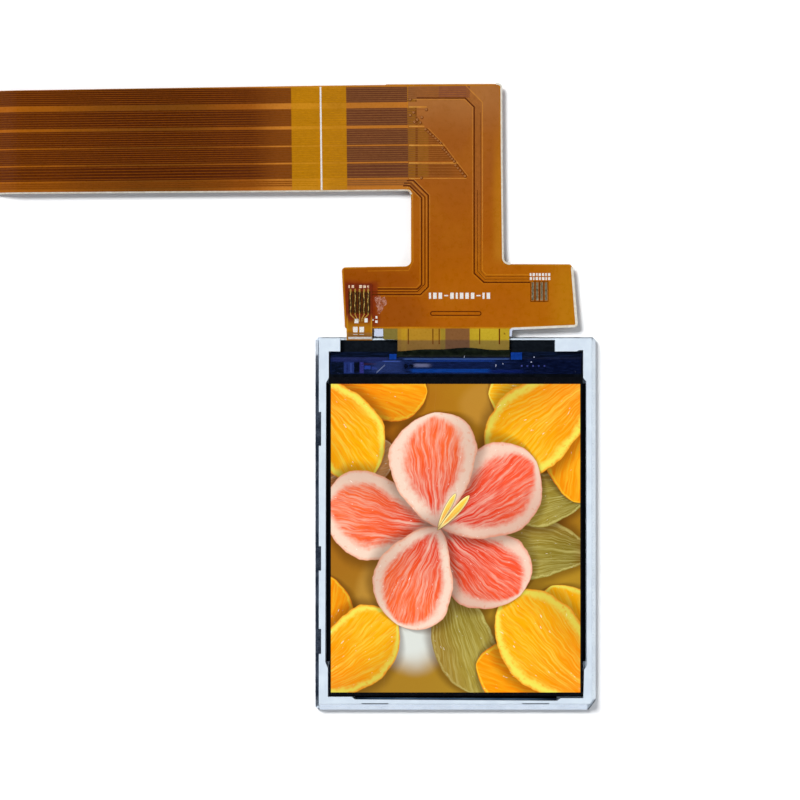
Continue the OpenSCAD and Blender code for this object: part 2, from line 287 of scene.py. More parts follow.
class Strips:
    """Low raised strips along paths on the circuit, in one mesh."""

    def __init__(self):
        self.v, self.f = [], []

    def add(self, pts, width, high=0.014, step=0.7, height=top, closed=False, bevel=0.03):
        pts = resample(pts, step)
        if closed:
            pts = pts[:-1]
        n = len(pts)
        base = len(self.v)
        for i, p in enumerate(pts):
            a = pts[(i - 1) % n] if closed or i else p
            b = pts[(i + 1) % n] if closed or i < n - 1 else p
            d0 = Vector((p[0] - a[0], p[1] - a[1]))
            d1 = Vector((b[0] - p[0], b[1] - p[1]))
            d0 = d0.normalized() if d0.length > 1e-9 else d1.normalized()
            d1 = d1.normalized() if d1.length > 1e-9 else d0
            t = (d0 + d1).normalized()
            k = 1 / max(0.5, t.dot(d1))
            nx, ny = -t.y * k, t.x * k
            bev = min(bevel, width * 0.3)
            for off, up in ((-width / 2, 0), (-width / 2 + bev, 1), (width / 2 - bev, 1), (width / 2, 0)):
                x, y = p[0] + nx * off, p[1] + ny * off
                self.v.append((x, y, height(x, y) + (high if up else -0.006)))
        for i in range(n if closed else n - 1):
            r, s = base + 4 * i, base + 4 * ((i + 1) % n)
            for k in range(4):
                self.f.append((r + k, r + (k + 1) % 4, s + (k + 1) % 4, s + k))
        if not closed:
            self.f.append(tuple(base + k for k in range(4)))
            self.f.append(tuple(base + 4 * (n - 1) + 3 - k for k in range(4)))

    def ring(self, x, y, r0, r1, high=0.02, n=14, height=top):
        """A small plated ring, with a dimple in the middle."""
        base = len(self.v)
        prof = ((r1, -0.006), (r1 - 0.03, high), (r0 + 0.02, high), (r0, 0.002))
        for i in range(n):
            a = 2 * math.pi * i / n
            for r, z in prof:
                px, py = x + r * math.cos(a), y + r * math.sin(a)
                self.v.append((px, py, height(x, y) + z))
        for i in range(n):
            r, s = base + 4 * i, base + 4 * ((i + 1) % n)
            for k in range(3):
                self.f.append((r + k, s + k, s + k + 1, r + k + 1))
        self.f.append(tuple(base + 4 * i + 3 for i in range(n)))
        self.f.append(tuple(base + 4 * (n - 1 - i) for i in range(n)))

    def make(self, name, mat, slot):
        return add_piece(name, self.v, self.f, mat)


def sheet_on(name, outline, high, mat, height=top, stations=(), thick=0.012, max_len=None):
    """A thin patch with this outline that lies on the circuit: its top is high above the upper face."""
    bm = bmesh.new()
    vs = [bm.verts.new((x, y, 0)) for x, y in outline]
    bm.faces.new(vs)
    for y in stations:
        bmesh.ops.bisect_plane(bm, geom=bm.verts[:] + bm.edges[:] + bm.faces[:], plane_co=(0, y, 0), plane_no=(0, 1, 0))
    if max_len:
        xs = [v.co.x for v in bm.verts]
        x = min(xs) + max_len
        while x < max(xs):
            bmesh.ops.bisect_plane(bm, geom=bm.verts[:] + bm.edges[:] + bm.faces[:], plane_co=(x, 0, 0), plane_no=(1, 0, 0))
            x += max_len
    bmesh.ops.remove_doubles(bm, verts=bm.verts, dist=1e-5)
    bm.normal_update()
    for f in bm.faces:
        if f.normal.z < 0:
            f.normal_flip()
    upper = bm.verts[:]
    ret = bmesh.ops.extrude_face_region(bm, geom=bm.faces[:])
    new = {g for g in ret["geom"] if isinstance(g, bmesh.types.BMVert)}
    for v in bm.verts:
        z = height(v.co.x, v.co.y) + high
        v.co.z = z if v in new else z - thick
    bmesh.ops.recalc_face_normals(bm, faces=bm.faces)
    for v in bm.verts:
        v.co *= MM
    me = bpy.data.meshes.new(name)
    bm.to_mesh(me)
    bm.free()
    ob = bpy.data.objects.new(name, me)
    bpy.context.scene.collection.objects.link(ob)
    me.materials.append(mat.m)
    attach(ob, "root")
    return ob


def rect(x0, x1, y0, y1):
    return [(x0, y0), (x1, y0), (x1, y1), (x0, y1)]


# ------------------------------------------------------- circuit materials --
def ribbon_axes(t, X, Y):
    dx, dy = X - PIVOT[0], Y - PIVOT[1]
    return dx * CA + dy * SA, dy * CA - dx * SA


GROUPS = [(9.02, 6.5, 7), (5.22, 2.35, 7), (1.56, -1.12, 7), (-1.6, -4.2, 7), (-4.72, -7.1, 5), (-7.55, -8.55, 3)]
BAND = (-21.5, -11.6)      # the part of the ribbon with no rear copper, along u


def in_groups(t, v, soft=0.06, count=5):
    total = None
    for a, b, n in GROUPS[:count]:
        g = t.between(v, b - 0.12, a + 0.12, soft)
        total = g if total is None else t.mx(total, g)
    return total


def film_colour(t, X, Y, Z):
    """Colour of the bare circuit by place: margin, tail, ribbon with its groups and its painted shade and sheen, band.
    """
    u, v = ribbon_axes(t, X, Y)
    pos = t.vec(X, Y, 0.0)
    soft = t.noise(pos, 0.16, 3.0, 0.5)
    fine = t.noise(pos, 2.2, 4.0, 0.6)
    # head and neck margin
    body = t.mix(t.ramp(soft, 0.3, 0.7), lin("ae6806"), lin("b6760c"))
    # tail: clear amber over the glass edge
    tail = t.mix(t.ramp(X, -10.5, -10.38), lin("7e6e32"), lin("ab7e22"))
    tail = t.mix(t.between(X, -9.8, -8.8, 0.2) * 0.6, tail, lin("bc921e"))
    tail = t.mix(t.between(X, -1.85, 2.52, 0.1), tail, lin("80552f"))
    tail = t.mix(t.between(X, -2.7, -1.85, 0.1) * 0.7, tail, lin("978228"))
    tail = t.mix(t.ramp(X, 2.5, 2.62), tail, lin("b69722"))
    tail = t.mix(t.between(X, 4.6, 7.6, 0.15) * 0.6, tail, lin("bb9f26"))
    low = t.mix(0.6, tail, lin("4e3c34"))
    tail = t.mix(t.ramp(Y + soft * 0.5, 33.0, 33.4), low, tail)
    body = t.mix(t.ramp(Y, 35.0, 35.08), tail, body)
    # ribbon
    g = in_groups(t, v)
    # painted shade and sheen: along the ribbon both colours are paler at the far end, darkest part way along, brighter
    # towards the band, and greyer beyond it, for the ribbon's gloss catching the light
    far, mid, near = t.ramp(u, -79.0, -47.0), t.ramp(u, -42.0, -29.0), t.ramp(u, -30.0, -22.0)
    gap = t.mix(far, lin("a85c08"), lin("74400a"))
    gap = t.mix(mid, gap, lin("94500f"))
    gap = t.mix(near, gap, lin("bf7626"))
    dark = t.mix(far, lin("5e2800"), lin("491b00"))
    dark = t.mix(mid, dark, lin("552406"))
    dark = t.mix(near, dark, lin("7c4212"))
    gap = t.mix(t.ramp(u, -11.65, -11.55), gap, lin("b26c24"))
    dark = t.mix(t.ramp(u, -11.65, -11.55), dark, lin("653720"))
    ribbon = t.mix(g, gap, dark)
    last = t.between(v, -8.7, -7.45, 0.08)
    ribbon = t.mix(last * 0.3, ribbon, dark)
    band = t.mix(g, lin("c08016"), lin("b17508"))
    band = t.mix(t.ramp(u, -16.2, -14.0) * 0.5, band, lin("ac7012"))
    ribbon = t.mix(t.between(u, BAND[0], BAND[1], 0.05), ribbon, band)
    ribbon = t.mix(t.ramp(t.absv(v), 9.22, 9.34) * 0.5, ribbon, lin("b8781c"))
    is_rib = t.ramp(u, -0.6, -0.55, 1.0, 0.0) * t.ramp(Y, 57.0, 57.2)
    col = t.mix(is_rib, body, ribbon)
    k = t.ramp(fine, 0.25, 0.75, 0.93, 1.06)
    k2 = t.ramp(soft, 0.3, 0.7, 0.94, 1.06)
    return t.scale(col, k * k2), u, v, fine


film = Mat("polyimide_film", Roughness=0.3, IOR=1.5)
col, u_, v_, fine_ = film_colour(film, film.X, film.Y, film.Z)
film.set(Base_Color=col, Roughness=film.ramp(fine_, 0.3, 0.7, 0.26, 0.4))
film.p.inputs["Specular IOR Level"].default_value = 0.1
film.p.inputs["Coat Weight"].default_value = 0.04
film.p.inputs["Coat Roughness"].default_value = 0.12
film.bump(film.noise(film.pos, 0.5, 2.0, 0.5), 0.2, 0.08)
paint("main_flex", film)

pour = Mat("copper_pour_film", IOR=1.5)
t = pour
n1 = t.noise(t.pos, 0.12, 3.0, 0.5)
n2 = t.noise(t.pos, 1.1, 3.0, 0.55)
up_, vp_ = ribbon_axes(t, t.X, t.Y)
# painted sheen: up the neck the copper's colour turns greyer and pinker towards its top
c = t.mix(t.ramp(t.Y, 44.0, 52.0), lin("a95a04"), lin("a0540a"))
c = t.mix(t.ramp(t.Y, 52.0, 68.0), c, lin("99541a"))
c = t.mix(t.ramp(t.Y, 68.0, 77.5), c, lin("a46834"))
c = t.mix(t.ramp(t.X + n1 * 6.0, 2.0, -8.0) * t.ramp(t.Y, 50.0, 44.0), c, lin("944804"))
c = t.mix(t.ramp(t.X + n1 * 3.0, 10.0, 16.0) * t.ramp(t.Y, 50.0, 44.0), c, lin("ab5f04"))
c = t.mix(t.ramp(t.X + n1 * 2.0, 16.5, 21.0) * t.ramp(t.Y, 50.0, 44.0), c, lin("b2700a"))
c = t.mix(t.ramp(t.X + n1 * 0.6, 6.4, 8.2) * t.ramp(t.Y, 76.0, 60.0) * t.ramp(t.Y, 46.0, 48.5), c, lin("b06c14"))
c = t.mix(t.ramp(n1, 0.45, 0.75) * 0.3, c, lin("b06812"))
c = t.mix(t.ramp(n1, 0.5, 0.25) * 0.25, c, lin("924e0c"))
# where tracks run there is no copper between them, so the film is darker
comb = in_groups(t, vp_, 0.06, 5)
diag = -5.14 + (71.05 - t.Y) * 0.845
right_end = t.mx(diag, t.ramp(t.Y, 76.45, 76.6, -7.0, 2.6))
left_of = t.ramp(t.X - right_end, -0.1, 0.1, 1.0, 0.0)
bars = t.mix(t.ramp(t.X, -8.55, -8.45), lin("6c4024"), lin("8a5618"))
bars = t.mix(t.between(t.X, -7.2, -6.8, 0.05), bars, lin("6e3c10"))
bars = t.mix(t.ramp(t.X, -5.1, -4.6), bars, lin("7e4414"))
bars = t.mix(t.ramp(t.X, -2.0, 1.0), bars, lin("8a4a12"))
top_bars = t.mix(t.ramp(t.X, -3.1, -2.9), lin("8a542c"), lin("7c4632"))
bars = t.mix(t.ramp(t.Y, 76.3, 76.4), bars, top_bars)
c = t.mix(comb * left_of * 0.92, c, bars)
stain_n = t.noise(t.pos, 0.5, 4.0, 0.6)
stain = t.between(t.X + stain_n * 1.6, -19.4, -13.2, 0.6) * t.between(t.Y + stain_n * 1.4, 36.2, 44.2, 0.6)
c = t.mix(stain * 0.85, c, lin("78260a"))
t.set(Base_Color=t.scale(c, t.ramp(n2, 0.3, 0.7, 0.97, 1.03)),
      Roughness=t.ramp(n2, 0.3, 0.7, 0.26, 0.36))
t.p.inputs["Specular IOR Level"].default_value = 0.1
t.p.inputs["Coat Weight"].default_value = 0.04
t.p.inputs["Coat Roughness"].default_value = 0.1
t.bump(t.noise(t.pos, 0.45, 2.0, 0.5), 0.2, 0.08)


def line_mat(name, right, band, left, neck, head, rough=0.32):
    m = Mat(name, IOR=1.5)
    u, v = ribbon_axes(m, m.X, m.Y)
    n = m.noise(m.pos, 1.3, 3.0)
    ribbon = m.mix(m.ramp(u, -21.6, -21.4), lin(left), lin(band))
    # the part of the ribbon nearest the neck takes the right colours, which are given greyer: painted sheen
    ribbon = m.mix(m.ramp(u, -11.7, -11.5), ribbon, lin(right))
    rest = m.mix(m.ramp(m.Y, 44.0, 60.0), lin(head), lin(neck))
    col = m.mix(m.ramp(u, -0.4, 2.5) , ribbon, rest)
    col = m.mix(m.ramp(m.Y, 58.0, 58.6), rest, col)
    m.set(Base_Color=m.scale(col, m.ramp(n, 0.3, 0.7, 0.9, 1.1)))
    m.p.inputs["Roughness"].default_value = rough
    m.p.inputs["Specular IOR Level"].default_value = 0.06
    return m


line_a = line_mat("track_film", "82522a", "b87a08", "7c3f06", "985a26", "ae6610")
line_d = line_mat("track_edge_film", "542812", "94600c", "421802", "562406", "582402")
line_h = line_mat("clearance_and_shadow_film", "6a3c1c", "94600c", "4a2006", "70380e", "70360a")
line_highlight = line_mat("track_highlight_film", "c48a3c", "c8952a", "a4600c", "bf7c30", "be7414")
copper = Mat("plated_copper", Metallic=0.2, Roughness=0.4)
nn = copper.noise(copper.pos, 5.0, 3.0)
copper.set(Base_Color=copper.mix(copper.ramp(nn, 0.35, 0.65), lin("a5652b"), lin("bf8248")))

# ---------------------------------------------------------- copper pour -----
def arc(cx, cy, r, a0, a1, n=6):
    return [(cx + r * math.cos(math.radians(a0 + (a1 - a0) * i / n)),
             cy + r * math.sin(math.radians(a0 + (a1 - a0) * i / n))) for i in range(n + 1)]


m_ = 0.27                       # bare margin round the copper
pour_outline = (
    [(-8.55, 59.9 + 0.55), (-8.3, 59.94 + 0.3)]
    + [(-8.01 + m_, 59.6)]
    + [(-8.01 + m_, 47.2)] + arc(-8.9, 47.13, 0.89 + m_ - 0.1, 0, -90, 5)[1:]
    + [(-20.2, 46.08 - m_), (-20.18, 45.7), (-19.6, 35.5), (-19.2, 35.0 + m_)]
    + [(-9.9, 35.1 + m_), (9.4, 35.06 + m_), (21.3, 35.6 + m_), (21.45, 36.1)]
    + [(20.72, 46.1), (20.4, 46.62 - m_)]
    + [(9.3, 46.64 - m_)] + arc(9.25, 47.5, 1.05, -90, -180, 5)[1:]
    + [(8.28 - m_, 66), (8.2 - m_, 78.3), (7.6, 79.1 - m_), (-8.55, 79.0 - m_ - 0.05)])
sheet_on("copper_pour", pour_outline, 0.010, pour, stations=SLOPE_YS[1:])

# --------------------------------------------------------------- tracks -----
tracks, edges, lights, vias, clearances_and_shadows = Strips(), Strips(), Strips(), Strips(), Strips()


def via(x, y, r=0.16):
    # the dark ring is the bare clearance round the via, set off to the lower right as painted shadow
    clearances_and_shadows.ring(x + 0.06, y - 0.06, r * 0.4, r + 0.13, high=0.028)
    vias.ring(x, y, r * 0.35, r + 0.03, high=0.042)


FINGER_V = [(17.5 - i) * 0.5 for i in range(36)]      # from +v to -v
RIGHT = -0.55


def spread(a, b, n):
    return [a + (b - a) * i / (n - 1) for i in range(n)]


ends = {
    1: [(-5.28, 74.5), (-7.56, 73.99), (-8.2, 73.5), (-6.09, 73.1), (-6.9, 72.67), (-7.42, 72.3), (-6.39, 72.15)],
    2: [(-5.4 + 2.7 * i / 6, 70.9 - 2.4 * i / 6) for i in range(7)],
    3: [(-2.35 + 2.1 * i / 6, 67.6 - 2.4 * i / 6) for i in range(7)],
    4: [(0.0 + 1.7 * i / 4, 64.45 - 1.95 * i / 4) for i in range(5)],
}
k = 0
for gi, (a, b, n) in enumerate(GROUPS):
    vs = spread(a - 0.14, b + 0.14, n)
    for i, v in enumerate(vs):
        fv = FINGER_V[k]
        k += 1
        path = [world(-80.2, fv), world(-77.4, fv), world(-74.4, v), world(-60, v), world(-30, v), world(RIGHT, v)]
        if gi == 0:
            if i < 6:
                X = 4.55 - 0.19 * i
                yy = 78.35 - 0.33 * i
                c0 = 1.95 - 0.0 * i
                path += [(-4.0, yy), (c0, yy), (X, yy - (X - c0))]
                if i in (0, 2, 4, 5):
                    j = (0, None, 1, None, 2, 3)[i]
                    yh = 44.52 - 0.33 * j
                    path += [(X, yh + 5.6 - X), (5.6, yh), (16.3 - 0.8 * j, yh), (16.3 - 0.8 * j, 43.3)]
                else:
                    path += [(X, 47.6 - 0.5 * (i == 3))]
            else:
                path += [(-8.3, 76.4)]
                via(-8.2, 76.3, 0.17)
        elif gi in ends:
            x, y = ends[gi][i]
            path += [(min(x - 0.3, x - abs(y - path[-1][1]) - 0.02), path[-1][1]), (x, y)]
            via(x, y, 0.19 if gi == 1 else 0.16)
        else:
            X = (-4.9, -5.5, -6.1)[i]
            yy = path[-1][1]
            c0 = (-7.5, -7.95, -8.2)[i]
            yh = (41.2, 41.68, 42.16)[i]
            path += [(c0 - 0.3, yy), (c0, yy), (X, yy - (X - c0))]
        tracks.add(path, 0.15, high=0.024 if gi in (0, 5) else 0.022)
tracks.make("signal_tracks", line_a, "polyimide")

# dark clearances beside the bundles, and pale lines along the copper's edges as painted highlights
edges.add([(-7.0, 76.56), (1.75, 76.56), (3.37, 74.94), (3.37, 45.0), (5.1, 43.37), (13.4, 43.37)], 0.27, high=0.027)
edges.add([(3.95, 60.0), (3.95, 45.35), (5.25, 43.92), (13.4, 43.92)], 0.12, high=0.026)
edges.add([(4.5, 74.0), (4.5, 45.4), (5.4, 44.4), (13.4, 44.4)], 0.1, high=0.026)
lights.add([(1.9, 78.75), (4.87, 75.78), (4.87, 45.45), (5.55, 44.77), (13.3, 44.77)], 0.17, high=0.024)
lights.add([(-7.6, 76.3), (1.6, 76.3), (3.05, 74.85), (3.05, 44.9), (5.0, 43.08), (13.3, 43.08)], 0.12, high=0.018)
for X, c0, y0, yh, xe in ((-4.9, -7.58, 61.7, 41.17, -15.4), (-5.5, -8.06, 61.22, 41.66, -15.0), (-6.1, -8.25, 60.75, 42.16, -14.0)):
    bend = 1.42 if yh < 42 else 0.75
    edges.add([(c0 - 1.2, y0), (c0, y0), (X, y0 - (X - c0)), (X, yh + bend), (X - bend, yh), (xe, yh)],
              0.26 if yh != 41.66 else 0.18, high=0.026)
for X, c0, y0, yh, bend in ((-5.2, -7.8, 61.46, 41.42, 1.1), (-5.8, -8.15, 60.98, 41.92, 0.8), (-6.38, -8.3, 60.45, 42.42, 0.7), (-4.62, -7.5, 61.98, 40.9, 1.5)):
    lights.add([(c0 - 0.5, y0), (c0, y0), (X, y0 - (X - c0)), (X, yh + bend), (X - bend, yh), (-14.0, yh)], 0.12, high=0.02)
lights.add([(-8.9, 60.2), (-7.7, 59.3), (-7.6, 47.1), (-8.45, 45.5), (-15.8, 45.4)], 0.13, high=0.018)
# the diagonal edge of the copper beside the rows of vias
DIAG = [(-5.14, 71.05), (-2.34, 68.18), (0.01, 65.02), (2.07, 62.4)]
edges.add(DIAG, 0.12, high=0.02)
lights.add([(x + 0.2, y + 0.12) for x, y in DIAG], 0.12, high=0.018)
for x1, y0, w0 in ((-1.95, 68.04, 0.3), (0.5, 64.85, 0.3), (2.0, 62.08, 0.18), (-5.6, 71.45, 0.3), (-5.2, 74.95, 0.3)):
    lights.add([(-8.4, y0), (x1, y0)], w0, high=0.016)
via(-6.15, 62.2)
# closed slot outline on the head
stadium = ([(-4.14, 38.1), (4.25, 38.1)] + arc(4.25, 37.76, 0.34, 90, -90)[1:]
           + [(-4.14, 37.42)] + arc(-4.14, 37.76, 0.34, 270, 90)[1:])
edges.add(stadium, 0.22, closed=True, high=0.022)
lights.add([(-4.1, 37.12), (4.2, 37.12)], 0.12, high=0.02)
# frames round the touch pads
for x in (13.9, 14.7, 15.5, 16.3):
    fr = rect(x - 0.36, x + 0.36, 39.9, 43.5)
    edges.add(fr + [fr[0]], 0.15, closed=True, high=0.022, step=0.3)
# clear amber lines on the tail
for x, w0 in ((-8.5, 0.2), (-4.07, 0.2), (-2.95, 0.2), (4.34, 0.2), (7.9, 0.26)):
    edges.add([(x, 35.0), (x, 32.2)], w0, high=0.006, step=0.25)
edges.add([(8.75, 34.3), (8.75, 34.05), (9.0, 34.05)], 0.13, high=0.006, step=0.2)
def rounded(pts):
    """Corners (x, y, radius) turned into a path."""
    out = []
    for i, (x, y, r) in enumerate(pts):
        if r == 0 or i in (0, len(pts) - 1):
            out.append((x, y))
            continue
        c_ = Vector((x, y))
        a_ = (Vector(pts[i - 1][:2]) - c_).normalized()
        b_ = (Vector(pts[i + 1][:2]) - c_).normalized()
        half = math.acos(max(-1, min(1, a_.dot(b_)))) / 2
        d_ = r / math.tan(half)
        m = c_ + (a_ + b_).normalized() * (r / math.sin(half))
        s_, e_ = c_ + a_ * d_ - m, c_ + b_ * d_ - m
        a0 = math.atan2(s_.y, s_.x)
        da = math.atan2(s_.x * e_.y - s_.y * e_.x, s_.dot(e_))
        out += [(m.x + r * math.cos(a0 + da * k / 6), m.y + r * math.sin(a0 + da * k / 6)) for k in range(7)]
    return out


# a pale strip of clear film along the circuit's right and lower edges only, where it stands as a painted highlight
# beside the cast shadow
margin = Strips()
o_ = 0.02                       # the middle of the neck's margin lies this far outside its edge
# along the ribbon's lower edge, down to where it settles, and round to the neck
margin.add(rounded([(-8.01, 59.2, 0), (-8.01 + 0.02, 59.95, 0.7), (-12.5, 59.92, 0)])
           + [world(-16, -9.49), world(-70.5, -9.25), world(-77.0, -9.25)], 0.3, high=0.012, bevel=0.02)
# along the neck's right edge
margin.add(rounded([(7.3, 79.08, 0), (8.22 + o_, 79.1, 0.65), (8.3 + o_, 66, 0), (8.52 + o_, 46.68, 1.14), (9.9, 46.7, 0)]),
           0.32, high=0.012, bevel=0.02)
# along the head's right and lower edges, and down the tail
margin.add(rounded([(20.98, 46.1, 0), (21.8, 35.5, 0.5), (9.96, 34.98, 0.5), (9.93, 33.62, 0)]), 0.44, high=0.012, bevel=0.02)
# the web of clear film in the corner beside the lamp strip
margin.add([(-14.62, 34.32), (-13.02, 34.32)], 1.36, high=0.012, bevel=0.02)
clear_edge_highlight = Mat("pale_margin_highlight_film", Roughness=0.4, IOR=1.5)
n = clear_edge_highlight.noise(clear_edge_highlight.pos, 1.4, 4.0)
c = clear_edge_highlight.mix(clear_edge_highlight.ramp(n, 0.35, 0.65), lin("d0c9b8"), lin("dedacd"))
cool = clear_edge_highlight.ramp(clear_edge_highlight.Y, 35.3, 34.7) * clear_edge_highlight.ramp(clear_edge_highlight.X, 16.0, 10.5)
c = clear_edge_highlight.mix(clear_edge_highlight.ramp(clear_edge_highlight.X, -8.3, -9.0), c, clear_edge_highlight.mix(clear_edge_highlight.ramp(n, 0.35, 0.65), lin("bdb5a4"), lin("cec9bc")))
clear_edge_highlight.set(Base_Color=clear_edge_highlight.mix(cool, c, lin("c3cbe0")))
margin.make("film_margin_highlights", clear_edge_highlight, "polyimide")
edges.make("track_clearances", line_d, "polyimide")
lights.make("track_edge_highlights", line_highlight, "polyimide")
vias.make("via_rings", copper, "polyimide")
clearances_and_shadows.make("via_clearances_and_shadows", line_h, "polyimide")

# --------------------------------------------------- white marks (plain) ----
ink = Mat("white_ink", Roughness=0.55)
n = ink.noise(ink.pos, 7.0, 3.0)
ink.set(Base_Color=ink.mix(ink.ramp(n, 0.35, 0.6), lin("cfc9c0"), lin("ece8e2")))
ink.bump(n, 0.3, 0.01)
cream_ink = Mat("cream_ink", Roughness=0.5)
n = cream_ink.noise(cream_ink.pos, 6.0, 3.0)
cream_ink.set(Base_Color=cream_ink.mix(cream_ink.ramp(n, 0.4, 0.6), lin("b87a50"), lin("ead9bc")))
marks = Strips()
# the line across the ribbon
marks.add([world(-16.2, -9.3), world(-16.2, 9.3)], 0.32, high=0.03, step=0.7)
# a plain row of blocks on the head, and small blocks at the two pad rows


def block(st, x, y, w, h, stroke=None, high=0.03, height=top):
    """A white block with its corner at x, y: solid, or an outline of this stroke."""
    if stroke is None:
        st.add([(x + w / 2, y), (x + w / 2, y + h)], w, high=high, step=0.4, height=height)
    else:
        c_ = rect(x + stroke / 2, x + w - stroke / 2, y + stroke / 2, y + h - stroke / 2)
        st.add(c_ + [c_[0]], stroke, high=high, step=0.4, closed=True, height=height)


x = -4.8
for w0 in (0.42, 0.66, 0.66, -0.8, 0.66, 0.42, 0.66, 0.66, 0.66, -0.8, 0.42, 0.66):
    if w0 > 0:
        block(marks, x, 40.4, w0, 1.1)
        x += w0 + 0.33
    else:
        block(marks, x + 0.02, 40.86, 0.76, 0.22)
        x += 1.1
for row, ys in enumerate((43.78, 44.5)):
    x = 13.35
    for i in range(7):
        w0 = (0.42, 0.3, 0.46, 0.34, 0.46, 0.3, 0.42)[(i + 3 * row) % 7]
        block(marks, x, ys, w0, 0.52)
        x += w0 + 0.17
block(marks, -14.4, 36.85, 0.36, 0.45)
block(marks, -14.45, 36.05, 0.45, 0.45)
block(marks, -14.95, 36.45, 0.22, 0.25)
marks.make("white_marks", ink, "polyimide")

# ---------------------------------------------------- backlight circuit -----
strip_mat = Mat("lamp_circuit_film", IOR=1.5)
t = strip_mat
n = t.noise(t.pos, 1.4, 4.0)
c = t.mix(t.ramp(t.Y + n * 0.8, 35.6, 37.4), lin("a56808"), lin("70260a"))
c = t.mix(t.ramp(t.absv(t.X + 17.3), 1.9, 2.25) * t.ramp(t.Y, 38.0, 36.0), c, lin("bd8218"))
c = t.scale(c, t.ramp(n, 0.3, 0.7, 0.88, 1.12))
t.set(Base_Color=c)
t.p.inputs["Roughness"].default_value = 0.28
t.p.inputs["Specular IOR Level"].default_value = 0.25
t.p.inputs["Coat Weight"].default_value = 0.1
t.p.inputs["Coat Roughness"].default_value = 0.1
t.bump(t.noise(t.pos, 3.0, 3.0), 0.2, 0.03)
paint("backlight_flex", strip_mat)

STRIP_YS = [31.0] + [32.95 + 1.55 * i / 8 for i in range(9)] + [y for y in SLOPE_YS if 34.51 < y < 43.1] + [43.1]


def strip_f(y):
    hi = flex_low(34.5) + FLEX_T
    if y <= 32.95:
        return 0.82
    if y >= 34.5:
        return flex_low(y) + FLEX_T
    return 0.82 + (hi - 0.82) * smooth((y - 32.95) / 1.55)


strip_at = table_of(STRIP_YS, strip_f)


def strip_top(x, y):
    return strip_at(y) + 0.1


dark_mask = Mat("solder_window", Roughness=0.5)
dark_mask.p.inputs["Specular IOR Level"].default_value = 0.02
n = dark_mask.noise(dark_mask.pos, 4.0, 3.0)
dark_mask.set(Base_Color=dark_mask.mix(dark_mask.ramp(n, 0.3, 0.7), lin("3a1b06"), lin("5c2e0a")))
sheet_on("solder_window", rect(-19.28, -15.3, 37.7, 41.75), 0.012, dark_mask,
         height=strip_top, stations=[y for y in STRIP_YS if 37.7 < y < 41.7])
gold = Mat("gold_track", Metallic=0.7, Roughness=0.35)
n = gold.noise(gold.pos, 6.0, 3.0)
gold.set(Base_Color=gold.mix(gold.ramp(n, 0.3, 0.7), lin("c9962e"), lin("e6bd5c")))
gold.bump(n, 0.3, 0.02)
lead = Strips()
SX = (-18.88, -18.07, -17.26, -16.45, -15.72)
for i, x in enumerate(SX):
    xe = -17.3 + (x + 17.3) * 0.55
    lead.add([(x, 37.9), (x, 37.55), (xe, 36.85), (xe, 36.3)], 0.2, high=0.02, step=0.25, height=strip_top)
    lead.add([(x, 41.55), (x, 42.2)], 0.3, high=0.02, step=0.25, height=strip_top)
lead.make("lamp_circuit_tracks", gold, "lamp_circuit")
smarks, cream = Strips(), Strips()
smarks.add([(-19.3, 33.34), (-15.05, 33.34)], 0.42, high=0.02, step=0.4, height=strip_top)
for x, y, w, h in ((-18.2, 36.0, 0.75, 0.8), (-16.4, 36.15, 0.6, 0.75), (-18.45, 33.95, 0.85, 1.4), (-17.3, 33.95, 0.85, 1.4)):
    block(smarks, x, y, w, h, high=0.02, height=strip_top)
for x, w in ((-19.3, 0.3), (-18.75, 0.5), (-17.35, 0.55), (-16.6, 0.5), (-15.9, 0.35)):
    block(cream, x, 42.35, w, 0.5, high=0.02, height=strip_top)
smarks.make("lamp_circuit_marks", ink, "lamp_circuit")
cream.make("lamp_circuit_labels", cream_ink, "lamp_circuit")

solder = Mat("fluxed_solder", Metallic=0.0, IOR=1.5)
solder.p.inputs["Specular IOR Level"].default_value = 0.1
t = solder
n = t.noise(t.pos, 3.5, 4.0)
seam_highlight = None                     # a thin wavy bright seam down each joint, on dark metal: painted highlight
for i, x in enumerate(SX):
    wave = t.sin(t.Y * (2.2 + 0.35 * (i % 3)) + 1.7 * i) * 0.055
    line = t.ramp(t.absv(t.X - x + wave + n * 0.16 - 0.08), 0.02, 0.11, 1.0, 0.0)
    seam_highlight = line if seam_highlight is None else t.mx(seam_highlight, line)
highlight_spark = t.ramp(t.noise(t.pos, 1.9, 2.0), 0.42, 0.6)
c = t.mix(t.ramp(n, 0.4, 0.7), lin("1a0d03"), lin("4a2806"))
c = t.mix(seam_highlight * (0.2 + highlight_spark * 0.7), c, lin("dcb45c"))
t.set(Base_Color=c, Roughness=t.ramp(n, 0.3, 0.7, 0.25, 0.45))
t.bump(n + seam_highlight * 0.5, 0.5, 0.06)
paint("backlight_solder", solder)

# flux that spread beside the joints
flux = Mat("flux_residue", IOR=1.5, Alpha=0.3)
n = flux.noise(flux.pos, 2.4, 5.0, 0.7)
flux.set(Base_Color=flux.mix(flux.ramp(n, 0.42, 0.62), lin("b05c34"), lin("f0b4a0")),
         Roughness=flux.ramp(n, 0.3, 0.7, 0.15, 0.5))
flux.bump(n, 0.8, 0.1)
random.seed(7)
blob = []
for i in range(40):
    a = 2 * math.pi * i / 40
    r = 1 + 0.22 * math.sin(3 * a + 0.6) + 0.12 * math.sin(7 * a + 2) + random.uniform(-0.08, 0.08)
    blob.append((-13.5 + 0.95 * r * math.cos(a), 39.6 + 1.5 * r * math.sin(a)))
sheet_on("flux_residue", blob, 0.03, flux, stations=[y for y in SLOPE_YS if 37 < y < 42], thick=0.015)

